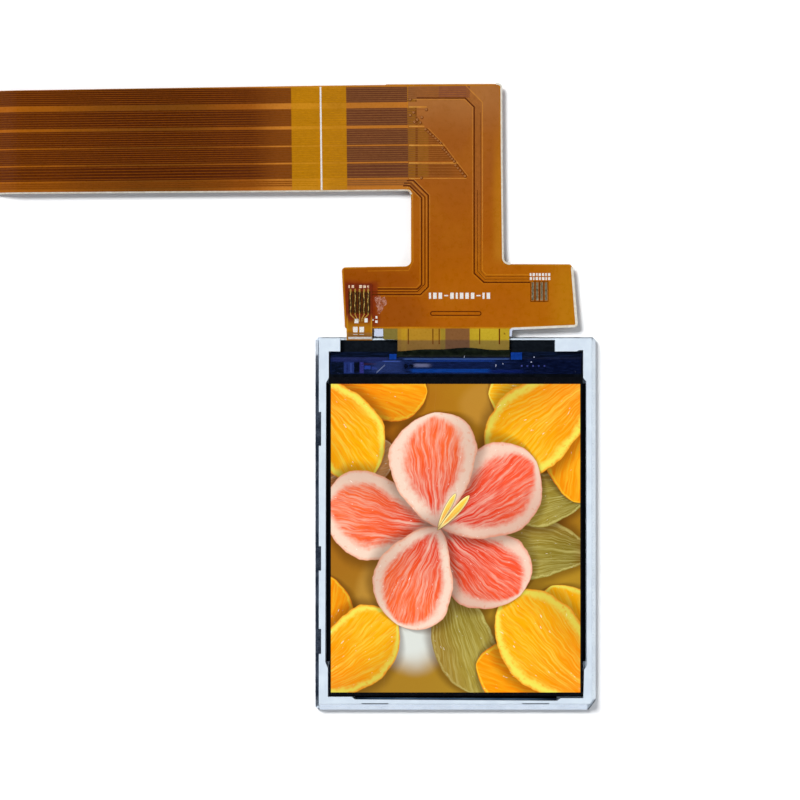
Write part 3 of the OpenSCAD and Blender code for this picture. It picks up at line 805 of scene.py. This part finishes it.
# ------------------------------------------------------------- touch pads ---
tin = Mat("tinned_pad", Metallic=0.85)
n = tin.noise(tin.vec(tin.X * 6.0, tin.Y * 1.2, 0.0), 1.5, 3.0)
tin.set(Base_Color=tin.mix(tin.ramp(n, 0.35, 0.65), lin("857a5c"), lin("b8ae92")), Roughness=tin.ramp(n, 0.3, 0.7, 0.25, 0.45))
paint("touch_pads", tin)
paint("contact_fingers", gold)
stiff = Mat("stiffener_film", Roughness=0.4)
n = stiff.noise(stiff.pos, 0.8, 4.0)
stiff.set(Base_Color=stiff.mix(stiff.ramp(n, 0.3, 0.7), lin("9a5c10"), lin("bb7a1c")))
stiff.bump(stiff.noise(stiff.pos, 5.0, 3.0), 0.2, 0.03)
paint("flex_stiffener", stiff)

# ----------------------------------------------------------------- frame ----
white = Mat("moulded_white", IOR=1.5)
t = white
n1 = t.noise(t.pos, 0.35, 4.0, 0.6)
n2 = t.noise(t.pos, 3.0, 4.0, 0.6)
c = t.mix(t.ramp(n1, 0.35, 0.7), lin("d3dfeb"), lin("dde9f3"))
speck = t.ramp(t.noise(t.pos, 1.7, 5.0, 0.7), 0.7, 0.76)
c = t.mix(speck * 0.5, c, lin("9aa2aa"))
t.set(Base_Color=c, Roughness=t.ramp(n2, 0.3, 0.7, 0.34, 0.5))
t.bump(t.noise(t.pos, 9.0, 3.0), 0.12, 0.02)
paint("mold_frame", white)

steel = Mat("pressed_steel", Metallic=1.0)
t = steel
streak = t.noise(t.vec(t.X * 0.25, t.Y * 6.0, t.Z * 6.0), 1.6, 4.0, 0.6)
blot = t.noise(t.pos, 0.3, 4.0, 0.6)
c = t.mix(t.ramp(streak, 0.3, 0.7), lin("cdd6e0"), lin("e6edf4"))
c = t.mix(t.ramp(blot, 0.35, 0.7) * 0.3, c, lin("b4bdc8"))
# painted shade: the sheet is coloured darker and bluer along its left wall, standing in for the dark reflection there
left_wall_painted_shade = t.ramp(t.X, -24.0, -24.1) * t.ramp(t.Y, -32.4, -30.6) * t.ramp(t.Y, 31.5, 24.5, 0.25, 1.0)
c = t.mix(left_wall_painted_shade, c, t.mix(t.ramp(blot, 0.38, 0.62), lin("586476"), lin("929eb0")))
# at that wall's upper end the painted shade fades, so the sheet is paler there, and it is matt
pale = t.ramp(t.X, -24.0, -24.1) * t.ramp(t.Y, 29.8, 30.8)
t.set(Base_Color=c, Metallic=t.ramp(pale, 0.0, 1.0, 1.0, 0.15), Roughness=t.ramp(streak, 0.3, 0.7, 0.24, 0.36))
t.bump(streak * 0.5 + blot * 0.5, 0.15, 0.02)
paint("rear_metal_case", steel)

black = Mat("shield_black_tape", Roughness=0.45)
black.p.inputs["Specular IOR Level"].default_value = 0.08
n = black.noise(black.pos, 2.5, 4.0)
black.set(Base_Color=black.mix(black.ramp(n, 0.3, 0.7), lin("060b12"), lin("0c131b")), Roughness=black.ramp(n, 0.3, 0.7, 0.35, 0.5))
black.bump(black.noise(black.pos, 14.0, 2.0), 0.2, 0.02)
paint("light_shield_tape", black)

slate = Mat("gasket_slate", Roughness=0.4)
n = slate.noise(slate.vec(slate.X * 0.3, slate.Y * 2.0, 0.0), 1.2, 3.0)
c = slate.mix(slate.ramp(n, 0.3, 0.7), lin("2c4056"), lin("46596c"))
c = slate.mix(slate.ramp(slate.absv(slate.X), 12.0, 18.0), c, lin("0e1826"))
slate.set(Base_Color=c)
slate.p.inputs["Specular IOR Level"].default_value = 0.1
pocket_edge = Strips()
tape_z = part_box("light_shield_tape")[1].z / MM
pocket_edge.add([(-17.85, -31.42), (18.05, -31.6)], 0.32, high=1.24, step=2.0, height=lambda x, y: tape_z)
pocket_edge.make("pocket_gasket", slate, "shield_black")

# ------------------------------------------------------- inner pieces -------
def plain(name, node, a, b, rough, scale=1.0, **kw):
    m = Mat(name, **kw)
    n = m.noise(m.pos, scale, 4.0)
    m.set(Base_Color=m.mix(m.ramp(n, 0.3, 0.7), lin(a), lin(b)), Roughness=m.ramp(n, 0.3, 0.7, rough * 0.85, rough * 1.15))
    m.bump(n, 0.1, 0.02)
    paint(node, m)
    return m


plain("reflector_film", "reflector_sheet", "f2f5f7", "fbfcfd", 0.25)
plain("guide_acrylic", "light_guide_plate", "dfe9ee", "e9f2f6", 0.1, IOR=1.49)
plain("frosted_film", "diffuser_sheet", "efefec", "f8f8f6", 0.5)
plain("prism_film_low", "lower_prism_sheet", "e2e7e9", "eef2f3", 0.3)
plain("prism_film_up", "upper_prism_sheet", "e4e9eb", "f0f4f5", 0.3)
plain("lamp_resin", "backlight_leds", "efe3a2", "f6efc8", 0.35)
plain("cream_tape", "led_fixing_tape", "e6dcc2", "f2ead6", 0.6)
plain("rear_film", "rear_polarizer", "1d2024", "2a2d31", 0.3)
plain("seal_resin", "cell_seal", "2c2c29", "41413c", 0.5)

# ------------------------------------------------------------ glass cell ----
glass = Mat("array_glass_dark", IOR=1.5)
t = glass
n = t.noise(t.vec(t.X * 0.25, t.Y * 2.5, 0.0), 1.4, 4.0, 0.6)
c = t.mix(t.ramp(n, 0.35, 0.7), lin("070c18"), lin("101c38"))
t.set(Base_Color=c)
t.p.inputs["Roughness"].default_value = 0.08
t.p.inputs["Coat Weight"].default_value = 0.5
t.p.inputs["Coat Roughness"].default_value = 0.03
paint("array_glass", glass)
cell = Mat("front_glass_dark", IOR=1.5)
n = cell.noise(cell.pos, 1.2, 4.0)
cell.set(Base_Color=cell.mix(cell.ramp(n, 0.3, 0.7), lin("06080d"), lin("0d1118")))
cell.p.inputs["Roughness"].default_value = 0.07
paint("colour_filter_glass", cell)
pol = Mat("front_film_dark", IOR=1.5)
n = pol.noise(pol.pos, 0.9, 5.0, 0.65)
pol.set(Base_Color=pol.mix(pol.ramp(n, 0.3, 0.7), lin("06070c"), lin("0a0b11")), Roughness=pol.ramp(n, 0.3, 0.7, 0.24, 0.28))
pol.p.inputs["Specular IOR Level"].default_value = 0.25
paint("front_polarizer", pol)

chip = Mat("chip_silicon", Metallic=0.35)
t = chip
n = t.noise(t.vec(t.X * 0.2, t.Y * 3.0, 0.0), 1.5, 3.0)
# painted sheen: the chip is paler and greyer at its left end, darkening towards the middle
c = t.mix(t.ramp(t.X, -9.0, 0.0), lin("5a5f8a"), lin("141f3e"))
t.set(Base_Color=t.mix(t.ramp(n, 0.35, 0.65) * 0.4, c, lin("0c1530")))
t.p.inputs["Roughness"].default_value = 0.14
paint("driver_chip", chip)

# blue resin over the ledge; what lies under it shows through
resin = Mat("ledge_resin", IOR=1.5, Alpha=0.86)
t = resin
long_ = t.noise(t.vec(t.X * 0.16, t.Y * 2.6, 0.0), 1.7, 5.0, 0.62)
fine = t.noise(t.vec(t.X * 0.5, t.Y * 5.0, 2.0), 1.6, 4.0, 0.6)
c = t.mix(t.ramp(long_, 0.35, 0.72), lin("070f2a"), lin("142656"))
c = t.mix(t.ramp(t.X, 7.0, 13.0), c, lin("040b26"))


def field(c, x0, x1, y0, y1, h, k=1.0, sx=0.08, sy=0.08):
    return t.mix(t.between(t.X, x0, x1, sx) * t.between(t.Y, y0, y1, sy) * k, c, lin(h))


c = field(c, -22.4, -9.0, 29.85, 31.0, "090f1c", 0.8, 0.3)
c = field(c, -22.2, -12.2, 29.0, 29.9, "20275a", 0.8, 0.6, 0.2)
c = field(c, -22.4, -20.1, 26.9, 29.0, "060d18", 0.9)
c = field(c, -20.1, -18.25, 27.0, 29.0, "253574")
c = field(c, -19.6, -19.3, 27.2, 28.7, "141c50", 0.7)
c = field(c, -18.9, -18.7, 27.2, 28.8, "4658a0", 0.7)
c = field(c, -18.25, -17.25, 27.1, 29.0, "060a14")
c = field(c, -17.25, -16.5, 27.0, 29.0, "30317a")
c = field(c, -16.5, -14.2, 28.55, 28.8, "3a1c24", 0.9)
c = field(c, -16.4, -15.3, 27.7, 28.35, "28409a", 0.9)
c = field(c, -15.1, -14.1, 27.6, 28.2, "2a3a88", 0.9)
# painted sheen: a slate-blue patch with a pale diagonal line across it, for light reflected off the glossy resin
c = field(c, -14.9, -9.6, 27.1, 29.1, "2a3a70", 0.75, 1.2, 0.25)
c = t.mix(t.between(t.Y - (t.X + 14.2) * 0.9, 27.0, 27.25, 0.05) * t.between(t.X, -14.2, -12.7, 0.1) * 0.8, c, lin("76809c"))
c = field(c, -13.0, -10.0, 29.05, 29.25, "4a62b4", 0.8, 0.5, 0.06)
c = field(c, -7.4, 7.0, 29.1, 29.35, "173a8c", 0.9, 0.8, 0.15)
c = field(c, -9.3, 9.6, 29.45, 29.66, "3e5a94", 0.9, 0.4, 0.05)
# painted sheen: a pale grey-lavender patch over the chip's left end
c = field(c, -7.4, -4.6, 28.1, 28.7, "777a9c", 0.8, 0.7, 0.15)
c = field(c, -4.6, 7.2, 27.95, 28.9, "0f1b42", 0.7, 1.4, 0.2)
c = field(c, -8.0, 6.2, 27.12, 27.78, "0b3b8c", 0.95, 0.6, 0.12)
c = field(c, 6.2, 12.0, 27.1, 27.6, "0a1c60", 0.7, 1.2, 0.12)
for cx in (-8.95, -7.95):
    dx, dy = t.X - cx, t.Y - 28.25
    c = t.mix(t.ramp(t.power(dx * dx + dy * dy, 0.5), 0.3, 0.5, 1.0, 0.0) * 0.95, c, lin("040713"))
# painted highlight: pale blue streaks over the resin
c = t.mix(t.ramp(fine, 0.45, 0.75) * 0.18, c, lin("3e5298"))
c = t.mix(t.ramp(fine, 0.5, 0.25) * 0.4, c, lin("050914"))
t.set(Base_Color=c)
t.p.inputs["Roughness"].default_value = 0.1
t.p.inputs["Coat Weight"].default_value = 0.4
t.p.inputs["Coat Roughness"].default_value = 0.04
t.bump(t.noise(t.pos, 0.5, 3.0), 0.2, 0.12)
paint("ledge_coating", resin)

bead = Mat("bead_resin", IOR=1.5)
t = bead
n = t.noise(t.pos, 0.8, 4.0, 0.6)
c = t.mix(t.ramp(n, 0.35, 0.7), lin("070c08"), lin("181e14"))
c = t.mix(t.ramp(t.X, 3.0, 9.0) * 0.6, c, lin("161c10"))
t.set(Base_Color=c)
t.p.inputs["Roughness"].default_value = 0.14
t.bump(t.noise(t.pos, 1.6, 4.0), 0.4, 0.12)
paint("bond_glue", bead)


def flat_at(z):
    return lambda x, y: z


# metal patterns on the glass ledge
blue = Mat("ledge_metal", Metallic=0.4)
t = blue
n = t.noise(t.pos, 1.6, 3.0)
c = t.mix(t.ramp(n, 0.3, 0.7), lin("2a3a86"), lin("4a4fa0"))
t.set(Base_Color=c)
t.p.inputs["Roughness"].default_value = 0.3
led = Strips()
flat = flat_at(LEDGE_Z)
for i in range(60):                     # output fan under the chip
    xa = -7.2 + 0.195 * i
    xb = -20.8 + 0.71 * i
    led.add([(xa, 27.62), (xa + (xb - xa) * 0.15, 27.45), (xb, 26.95)], 0.04, high=0.005, step=3.0, height=flat)
led.make("ledge_patterns", blue, "cell_glass")
dust_mat = Mat("dust_specks", Roughness=0.7)
n = dust_mat.noise(dust_mat.pos, 9.0, 2.0)
dust_mat.set(Base_Color=dust_mat.mix(dust_mat.ramp(n, 0.3, 0.7), lin("8f94b4"), lin("c9cad6")))
dust = Strips()
ledge_top = lambda x, y: 1.955
for x, y, w0, h0 in ((1.55, 29.95, 0.1, 0.34), (7.23, 28.35, 0.13, 0.4), (8.5, 28.7, 0.24, 0.1), (14.1, 29.9, 0.2, 0.2), (13.6, 29.0, 0.24, 0.16),
                     (-21.2, 27.1, 0.16, 0.2), (-20.9, 26.98, 0.1, 0.1), (21.5, 27.2, 0.08, 0.26)):
    dust.add([(x, y - h0 / 2), (x + 0.04, y + h0 / 2)], w0, high=0.02, step=0.3, height=ledge_top)
dust.make("ledge_dust", dust_mat, "ledge_resin")
dots = Strips()
for i in range(5):
    dots.ring(11.9 + 1.02 * i, 28.3, 0.05, 0.17, high=0.015, n=12, height=ledge_top)
dots.make("ledge_test_dots", blue, "ledge_resin")
bright = Mat("ledge_marks_blue", Roughness=0.35)
n = bright.noise(bright.pos, 2.0, 3.0)
bright.set(Base_Color=bright.mix(bright.ramp(n, 0.3, 0.7), lin("042c78"), lin("0c3a90")))
bright.p.inputs["Specular IOR Level"].default_value = 0.1
al = Strips()
mark_z = lambda x, y: 1.963
al.add([(-11.9, 29.95), (-10.62, 29.95)], 1.0, high=0.012, step=0.6, height=mark_z)
al.add([(9.95, 30.08), (11.95, 30.08)], 1.3, high=0.012, step=0.6, height=mark_z)
al.make("ledge_align_marks", bright, "cell_glass")

# --------------------------------------------------------------- picture ----
def petal_group():
    """One petal laid over what is below it."""
    g = bpy.data.node_groups.new("petal_layer", "ShaderNodeTree")
    I = g.interface
    I.new_socket("Under", in_out="INPUT", socket_type="NodeSocketColor")
    for nme in ("X", "Y", "Base X", "Base Y", "Cos", "Sin", "Length", "Width", "Bend", "Rim", "Seed"):
        I.new_socket(nme, in_out="INPUT", socket_type="NodeSocketFloat")
    for nme in ("Inner", "Middle", "Edge", "Outline"):
        I.new_socket(nme, in_out="INPUT", socket_type="NodeSocketColor")
    I.new_socket("Colour", in_out="OUTPUT", socket_type="NodeSocketColor")
    t = Tree(g)
    gi = t.node("NodeGroupInput")
    go = t.node("NodeGroupOutput")
    S = {s.name: Sock(t, s) for s in gi.outputs if s.name}
    dx, dy = S["X"] - S["Base X"], S["Y"] - S["Base Y"]
    a = dx * S["Cos"] + dy * S["Sin"]
    b = dy * S["Cos"] - dx * S["Sin"]
    u = a / S["Length"]
    b = b - S["Bend"] * u * u
    p = t.vec(S["X"] * 0.12, S["Y"] * 0.12, S["Seed"])
    wob = t.noise(p, 1.6, 3.0, 0.5) - 0.5
    v = b / S["Width"] + wob * 0.22
    uc = t.mn(t.mx(u, 0.0), 1.0)
    f = t.power(t.mx(uc * (1.0 - uc) * 4.0, 0.0001), 0.62) * (0.52 + uc * 0.66)
    av = t.absv(v)
    d = f - av
    window = t.ramp(u, -0.03, 0.03) * t.ramp(u, 0.99, 1.03, 1.0, 0.0)
    mask = t.ramp(d, 0.0, 0.02)
    shade = t.ramp(d, -0.3, 0.0) * window
    under = t.mix(shade * 0.5, S["Under"], (0.05, 0.012, 0.002, 1))
    # streaks that run along the petal and open towards its tip
    w = v / (0.35 + uc)
    st = t.noise(t.vec(uc * 2.4, w * 15.0, S["Seed"]), 1.4, 4.0, 0.65)
    body = t.mix(t.ramp(uc, 0.08, 0.8), S["Inner"], S["Middle"])
    body = t.mix(t.ramp(st, 0.4, 0.7) * 0.5, body, S["Edge"])
    cell = t.cells(t.vec(uc * 9.0, w * 20.0, S["Seed"]), 1.0)
    body = t.mix(t.ramp(cell, 0.5, 0.12) * 0.34, body, S["Inner"])
    fr = t.noise(t.vec(S["X"], S["Y"], S["Seed"]), 1.1, 3.0, 0.6)
    rim = t.ramp(d + fr * 0.16 - 0.08, S["Rim"], S["Rim"] * 0.42)
    body = t.mix(rim * 0.96, body, S["Edge"])
    body = t.mix(t.ramp(fr, 0.6, 0.68) * t.ramp(d, S["Rim"], 0.02) * 0.55, body, S["Outline"])
    body = t.mix(t.ramp(d + fr * 0.1 - 0.05, 0.085, 0.0) * 0.85, body, S["Outline"])
    mid = t.ramp(av, 0.0, 0.045, 1.0, 0.0) * t.ramp(uc, 0.02, 0.85, 1.0, 0.0)
    body = t.mix(mid * 0.6, body, S["Edge"])
    body = t.mix(t.ramp(v, 0.1, -0.9) * 0.3, body, (0.22, 0.04, 0.005, 1))
    body = t.mix(t.ramp(uc, 0.22, 0.0) * 0.6, body, (0.16, 0.012, 0.004, 1))
    glint = t.ramp(t.noise(t.vec(uc * 14.0, w * 22.0, S["Seed"] + 4.0), 1.3, 2.0, 0.5), 0.71, 0.78)
    body = t.mix(glint * 0.8, body, (1.0, 0.93, 0.85, 1))
    out = t.mix(mask, under, body)
    g.links.new(out.s, go.inputs["Colour"])
    return g


PETAL = petal_group()
# base x, base y, heading, length, width, colours, bend, rim, seed: far ones first
CORAL = ("d92c1a", "fb5630", "f7d3bd", "f39a7c")
CORAL2 = ("e2381c", "ff6a34", "f8dcc6", "f6a684")
YELLOW = ("ff8405", "ffb005", "f3e75a", "fb8a08")
ORANGE = ("fb7405", "ff9806", "fbcf34", "ee6408")
OLIVE = ("7c6a1c", "a8933a", "d4c878", "8a7a22")
TAN = ("b0662a", "d79a5c", "f0cda0", "c07838")
PETALS = [
    (25, -3, 170, 21, 6.8, OLIVE, 3, 0.1, 1),
    (25, 9, 196, 17, 5.6, OLIVE, -2, 0.1, 2),
    (-2, -6, -78, 23, 6.2, OLIVE, 2, 0.1, 3),
    (-26, 10, 14, 16, 5.0, TAN, 2, 0.12, 4),
    # yellow flower beyond the upper right corner
    (27, 26, 186, 21, 7.6, YELLOW, -2, 0.2, 5),
    (27, 31, 250, 25, 8.0, ORANGE, 3, 0.14, 6),
    (27, 30, 215, 27, 8.6, YELLOW, 2, 0.26, 7),
    # yellow flower beyond the lower right corner
    (27, -29, 172, 24, 7.4, ORANGE, -3, 0.14, 8),
    (26, -31, 106, 24, 8.0, YELLOW, 2, 0.24, 9),
    (28, -31, 138, 28, 8.8, YELLOW, -2, 0.28, 10),
    # orange flower beyond the lower left corner
    (-27, -25, 74, 19, 7.0, ORANGE, 2, 0.14, 11),
    (-28, -28, 34, 22, 7.4, YELLOW, 2, 0.22, 12),
    # orange flower beyond the upper left corner
    (-27, 29, -2, 22, 7.4, ORANGE, -2, 0.14, 13),
    (-28, 29, -48, 22, 7.6, YELLOW, -2, 0.24, 14),
    # the coral flower in the middle
    (-3, 2, -46, 19, 8.8, CORAL, 2, 0.36, 15),
    (-3, 2, 174, 21, 9.0, CORAL2, -2, 0.42, 16),
    (-3, 2, 28, 21, 9.2, CORAL, 2, 0.4, 17),
    (-3, 2, -118, 19, 8.6, CORAL2, 2, 0.34, 18),
    (-3, 2, 98, 20.5, 9.0, CORAL2, -2, 0.44, 19),
    # its stamens
    (-3.3, 1.4, 44, 8.5, 0.75, ("f08a08", "ffd23a", "fff2a0", "f2b020"), 0.5, 0.5, 20),
    (-3.2, 1.8, 66, 7.0, 0.6, ("f08a08", "ffd23a", "fff2a0", "f2b020"), -0.4, 0.5, 21),
]
MIDY = -2.65                      # the picture's middle


def reaches(pt, x0, x1, y0, y1):
    """True if this petal or its shadow can show in the region."""
    bx, by, deg, length, width = pt[:5]
    ca, sa = math.cos(math.radians(deg)), math.sin(math.radians(deg))
    for j in range(41):
        for i in range(41):
            dx, dy = x0 + (x1 - x0) * i / 40 - bx, y0 + (y1 - y0) * j / 40 - by
            u = (dx * ca + dy * sa) / length
            if not -0.05 < u < 1.06:
                continue
            uc = min(1.0, max(0.0, u))
            v = (dy * ca - dx * sa - pt[6] * u * u) / width
            if max(4 * uc * (1 - uc), 1e-4) ** 0.62 * (0.52 + 0.66 * uc) - abs(v) > -0.42:
                return True
    return False


def picture(name, x0, x1, y0, y1):
    t = Mat(name, IOR=1.45)
    X, Y = t.X, t.Y - MIDY
    p3 = t.vec(X * 0.1, Y * 0.1, 0.0)
    bg_n = t.noise(p3, 0.9, 3.0, 0.5)
    back = t.mix(t.ramp(X + bg_n * 14.0, -16.0, 22.0), lin("a45a10"), lin("b9861e"))
    back = t.mix(t.ramp(Y + bg_n * 10.0, 22.0, -20.0) * 0.6, back, lin("a98a2c"))
    # blurred petals and leaves far behind
    for cx, cy, rx, ry, h_, k_ in ((6.0, 24.0, 5.5, 4.2, "c08a34", 0.7), (-17.5, 3.5, 6.0, 4.0, "8a6418", 0.6), (-13.0, -10.0, 5.0, 6.5, "c79640", 0.55),
                                   (3.5, -21.0, 6.5, 5.0, "8f7420", 0.65), (10.5, -18.0, 4.2, 6.0, "c8922c", 0.6)):
        ex, ey = (X - cx) * (1 / rx), (Y - cy) * (1 / ry)
        back = t.mix(t.ramp(ex * ex + ey * ey + bg_n * 0.5, 0.75, 1.5, k_, 0.0), back, lin(h_))
    # soft light patch low in the picture
    dx, dy = X + 8.0, (Y + 18.5) * 1.2
    dist = t.power(dx * dx + dy * dy, 0.5)
    back = t.mix(t.ramp(dist + bg_n * 3.0, 3.0, 9.5, 1.0, 0.0), back, lin("dfe2da"))
    dx, dy = X - 17.0, Y - 4.0
    dist = t.power(dx * dx + dy * dy, 0.5)
    col = t.mix(t.ramp(dist + bg_n * 4.0, 3.0, 13.0, 0.8, 0.0), back, lin("8f5a16"))
    used = [pt for pt in PETALS if reaches(pt, x0, x1, y0 - MIDY, y1 - MIDY)]
    for pt in used:
        g = t.node("ShaderNodeGroup", node_tree=PETAL)
        a = math.radians(pt[2])
        vals = {"Under": col, "X": X, "Y": Y, "Base X": pt[0], "Base Y": pt[1], "Cos": math.cos(a), "Sin": math.sin(a),
                "Length": pt[3], "Width": pt[4], "Bend": pt[6], "Rim": pt[7], "Seed": float(pt[8]),
                "Inner": lin(pt[5][0]), "Middle": lin(pt[5][1]), "Edge": lin(pt[5][2]), "Outline": lin(pt[5][3])}
        for k_, v_ in vals.items():
            t.put(v_, g.inputs[k_])
        col = Sock(t, g.outputs["Colour"])
    t.set(Base_Color=t.mix(0.5, col, (0, 0, 0, 1)), Emission_Color=col)
    t.p.inputs["Emission Strength"].default_value = 0.63
    t.p.inputs["Roughness"].default_value = 0.25
    t.p.inputs["Specular IOR Level"].default_value = 0.25
    return t, len(used)


def thin_panel(x0, x1, y0, y1, z0, z1, nx, ny):
    vs, fs = [], []
    for z in (z1, z0):
        for j in range(ny + 1):
            for i in range(nx + 1):
                vs.append((x0 + (x1 - x0) * i / nx, y0 + (y1 - y0) * j / ny, z))
    w_ = nx + 1
    L = w_ * (ny + 1)
    for j in range(ny):
        for i in range(nx):
            q = j * w_ + i
            fs.append((q, q + 1, q + 1 + w_, q + w_))
            fs.append((L + q, L + q + w_, L + q + 1 + w_, L + q + 1))
    for i in range(nx):
        fs.append((i, L + i, L + i + 1, i + 1))
        q = ny * w_ + i
        fs.append((q, q + 1, L + q + 1, L + q))
    for j in range(ny):
        q = j * w_
        fs.append((q, q + w_, L + q + w_, L + q))
        q = j * w_ + nx
        fs.append((q, L + q, L + q + w_, q + w_))
    return vs, fs


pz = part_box("front_polarizer")[1].z / MM
PX, PY = (-22.41, -8.0, 8.0, 22.41), (-30.36, -17.0, -4.0, 9.0, 25.06)
for j in range(4):
    for i in range(3):
        nm = "lit_picture_%d%d" % (j + 1, i + 1)
        mat_, n_used = picture(nm, PX[i], PX[i + 1], PY[j], PY[j + 1])
        vs, fs = thin_panel(PX[i], PX[i + 1], PY[j], PY[j + 1], pz + 0.0005, pz + 0.006, 8, 8)
        add_piece(nm, vs, fs, mat_)
        print("PETALS", nm, n_used)

# ----------------------------------------------------------------- stage ----
floor_mat = Mat("floor_pale", Roughness=0.8)
n = floor_mat.noise(floor_mat.pos, 0.02, 3.0)
floor_mat.set(Base_Color=floor_mat.mix(floor_mat.ramp(n, 0.3, 0.7), (0.974, 0.974, 0.974, 1), (0.99, 0.99, 0.99, 1)))
me = bpy.data.meshes.new("floor")
s = 6.0
me.from_pydata([(-s, -s, -0.00003), (s, -s, -0.00003), (s, s, -0.00003), (-s, s, -0.00003)], [], [(0, 1, 2, 3)])
floor = bpy.data.objects.new("floor", me)
me.materials.append(floor_mat.m)
bpy.context.scene.collection.objects.link(floor)

scene = bpy.context.scene
scene.view_settings.view_transform = "Standard"
w = bpy.data.worlds.new("studio")
scene.world = w
w.use_nodes = True
wt = Tree(w.node_tree)
w.node_tree.nodes.clear()
wo = wt.node("ShaderNodeOutputWorld")
bgn = wt.node("ShaderNodeBackground")
w.node_tree.links.new(bgn.outputs[0], wo.inputs[0])
tc = wt.node("ShaderNodeTexCoord")
sp = wt.node("ShaderNodeSeparateXYZ")
w.node_tree.links.new(tc.outputs["Generated"], sp.inputs[0])
gx, gy, gz = (Sock(wt, sp.outputs[i]) for i in range(3))
# pale all round; dark overhead, so that the films keep their colour; half way up
# there is a brighter wall to the right and in front, and a darker one to the left
sky = wt.mix(wt.ramp(gz, 0.95, 0.74), (0.012, 0.014, 0.018, 1), (0.4, 0.41, 0.44, 1))
wall = wt.ramp(gz, 0.8, 0.5) * wt.ramp(gz, 0.16, 0.34)
sky = wt.mix(wt.ramp(gx, 0.25, 0.75) * wall, sky, (2.95, 3.05, 3.1, 1))
sky = wt.mix(wt.ramp(gy, -0.25, -0.75) * wall, sky, (3.2, 3.35, 3.6, 1))
sky = wt.mix(wt.ramp(gx, -0.3, -0.7) * wt.ramp(gz, 0.8, 0.5) * wt.ramp(gz, 0.1, 0.2), sky, (0.05, 0.09, 0.16, 1))
sky = wt.mix(wt.ramp(gz, 0.16, 0.03), sky, (1.9, 1.9, 1.92, 1))
wt.put(sky, bgn.inputs["Color"])
bgn.inputs["Strength"].default_value = 0.42


def lamp(name, towards, strength, angle, colour=(1, 1, 1)):
    """A distant soft lamp that shines from this direction."""
    d = bpy.data.lights.new(name, "SUN")
    d.energy = strength
    d.angle = math.radians(angle)
    d.color = colour
    o = bpy.data.objects.new(name, d)
    o.location = Vector(towards)
    o.rotation_euler = Vector(towards).to_track_quat("Z", "Y").to_euler()
    scene.collection.objects.link(o)


lamp("key", (-0.56, 0.62, 0.9), 3.66, 25)
lamp("fill", (0.75, -0.1, 0.75), 0.12, 30)

cam = bpy.data.cameras.new("camera")
cam.sensor_width = 36
D = 0.9
TILT = math.radians(0.5)
cam.lens = 36 * D / 0.144
cam_ob = bpy.data.objects.new("camera", cam)
target = Vector((-9.99, 22.19, 1.0)) * MM
cam_ob.location = target + Vector((0, -math.sin(TILT) * D, math.cos(TILT) * D))
cam_ob.rotation_euler = (TILT, 0, 0)
cam.clip_start, cam.clip_end = 0.01, 20
scene.collection.objects.link(cam_ob)
scene.camera = cam_ob
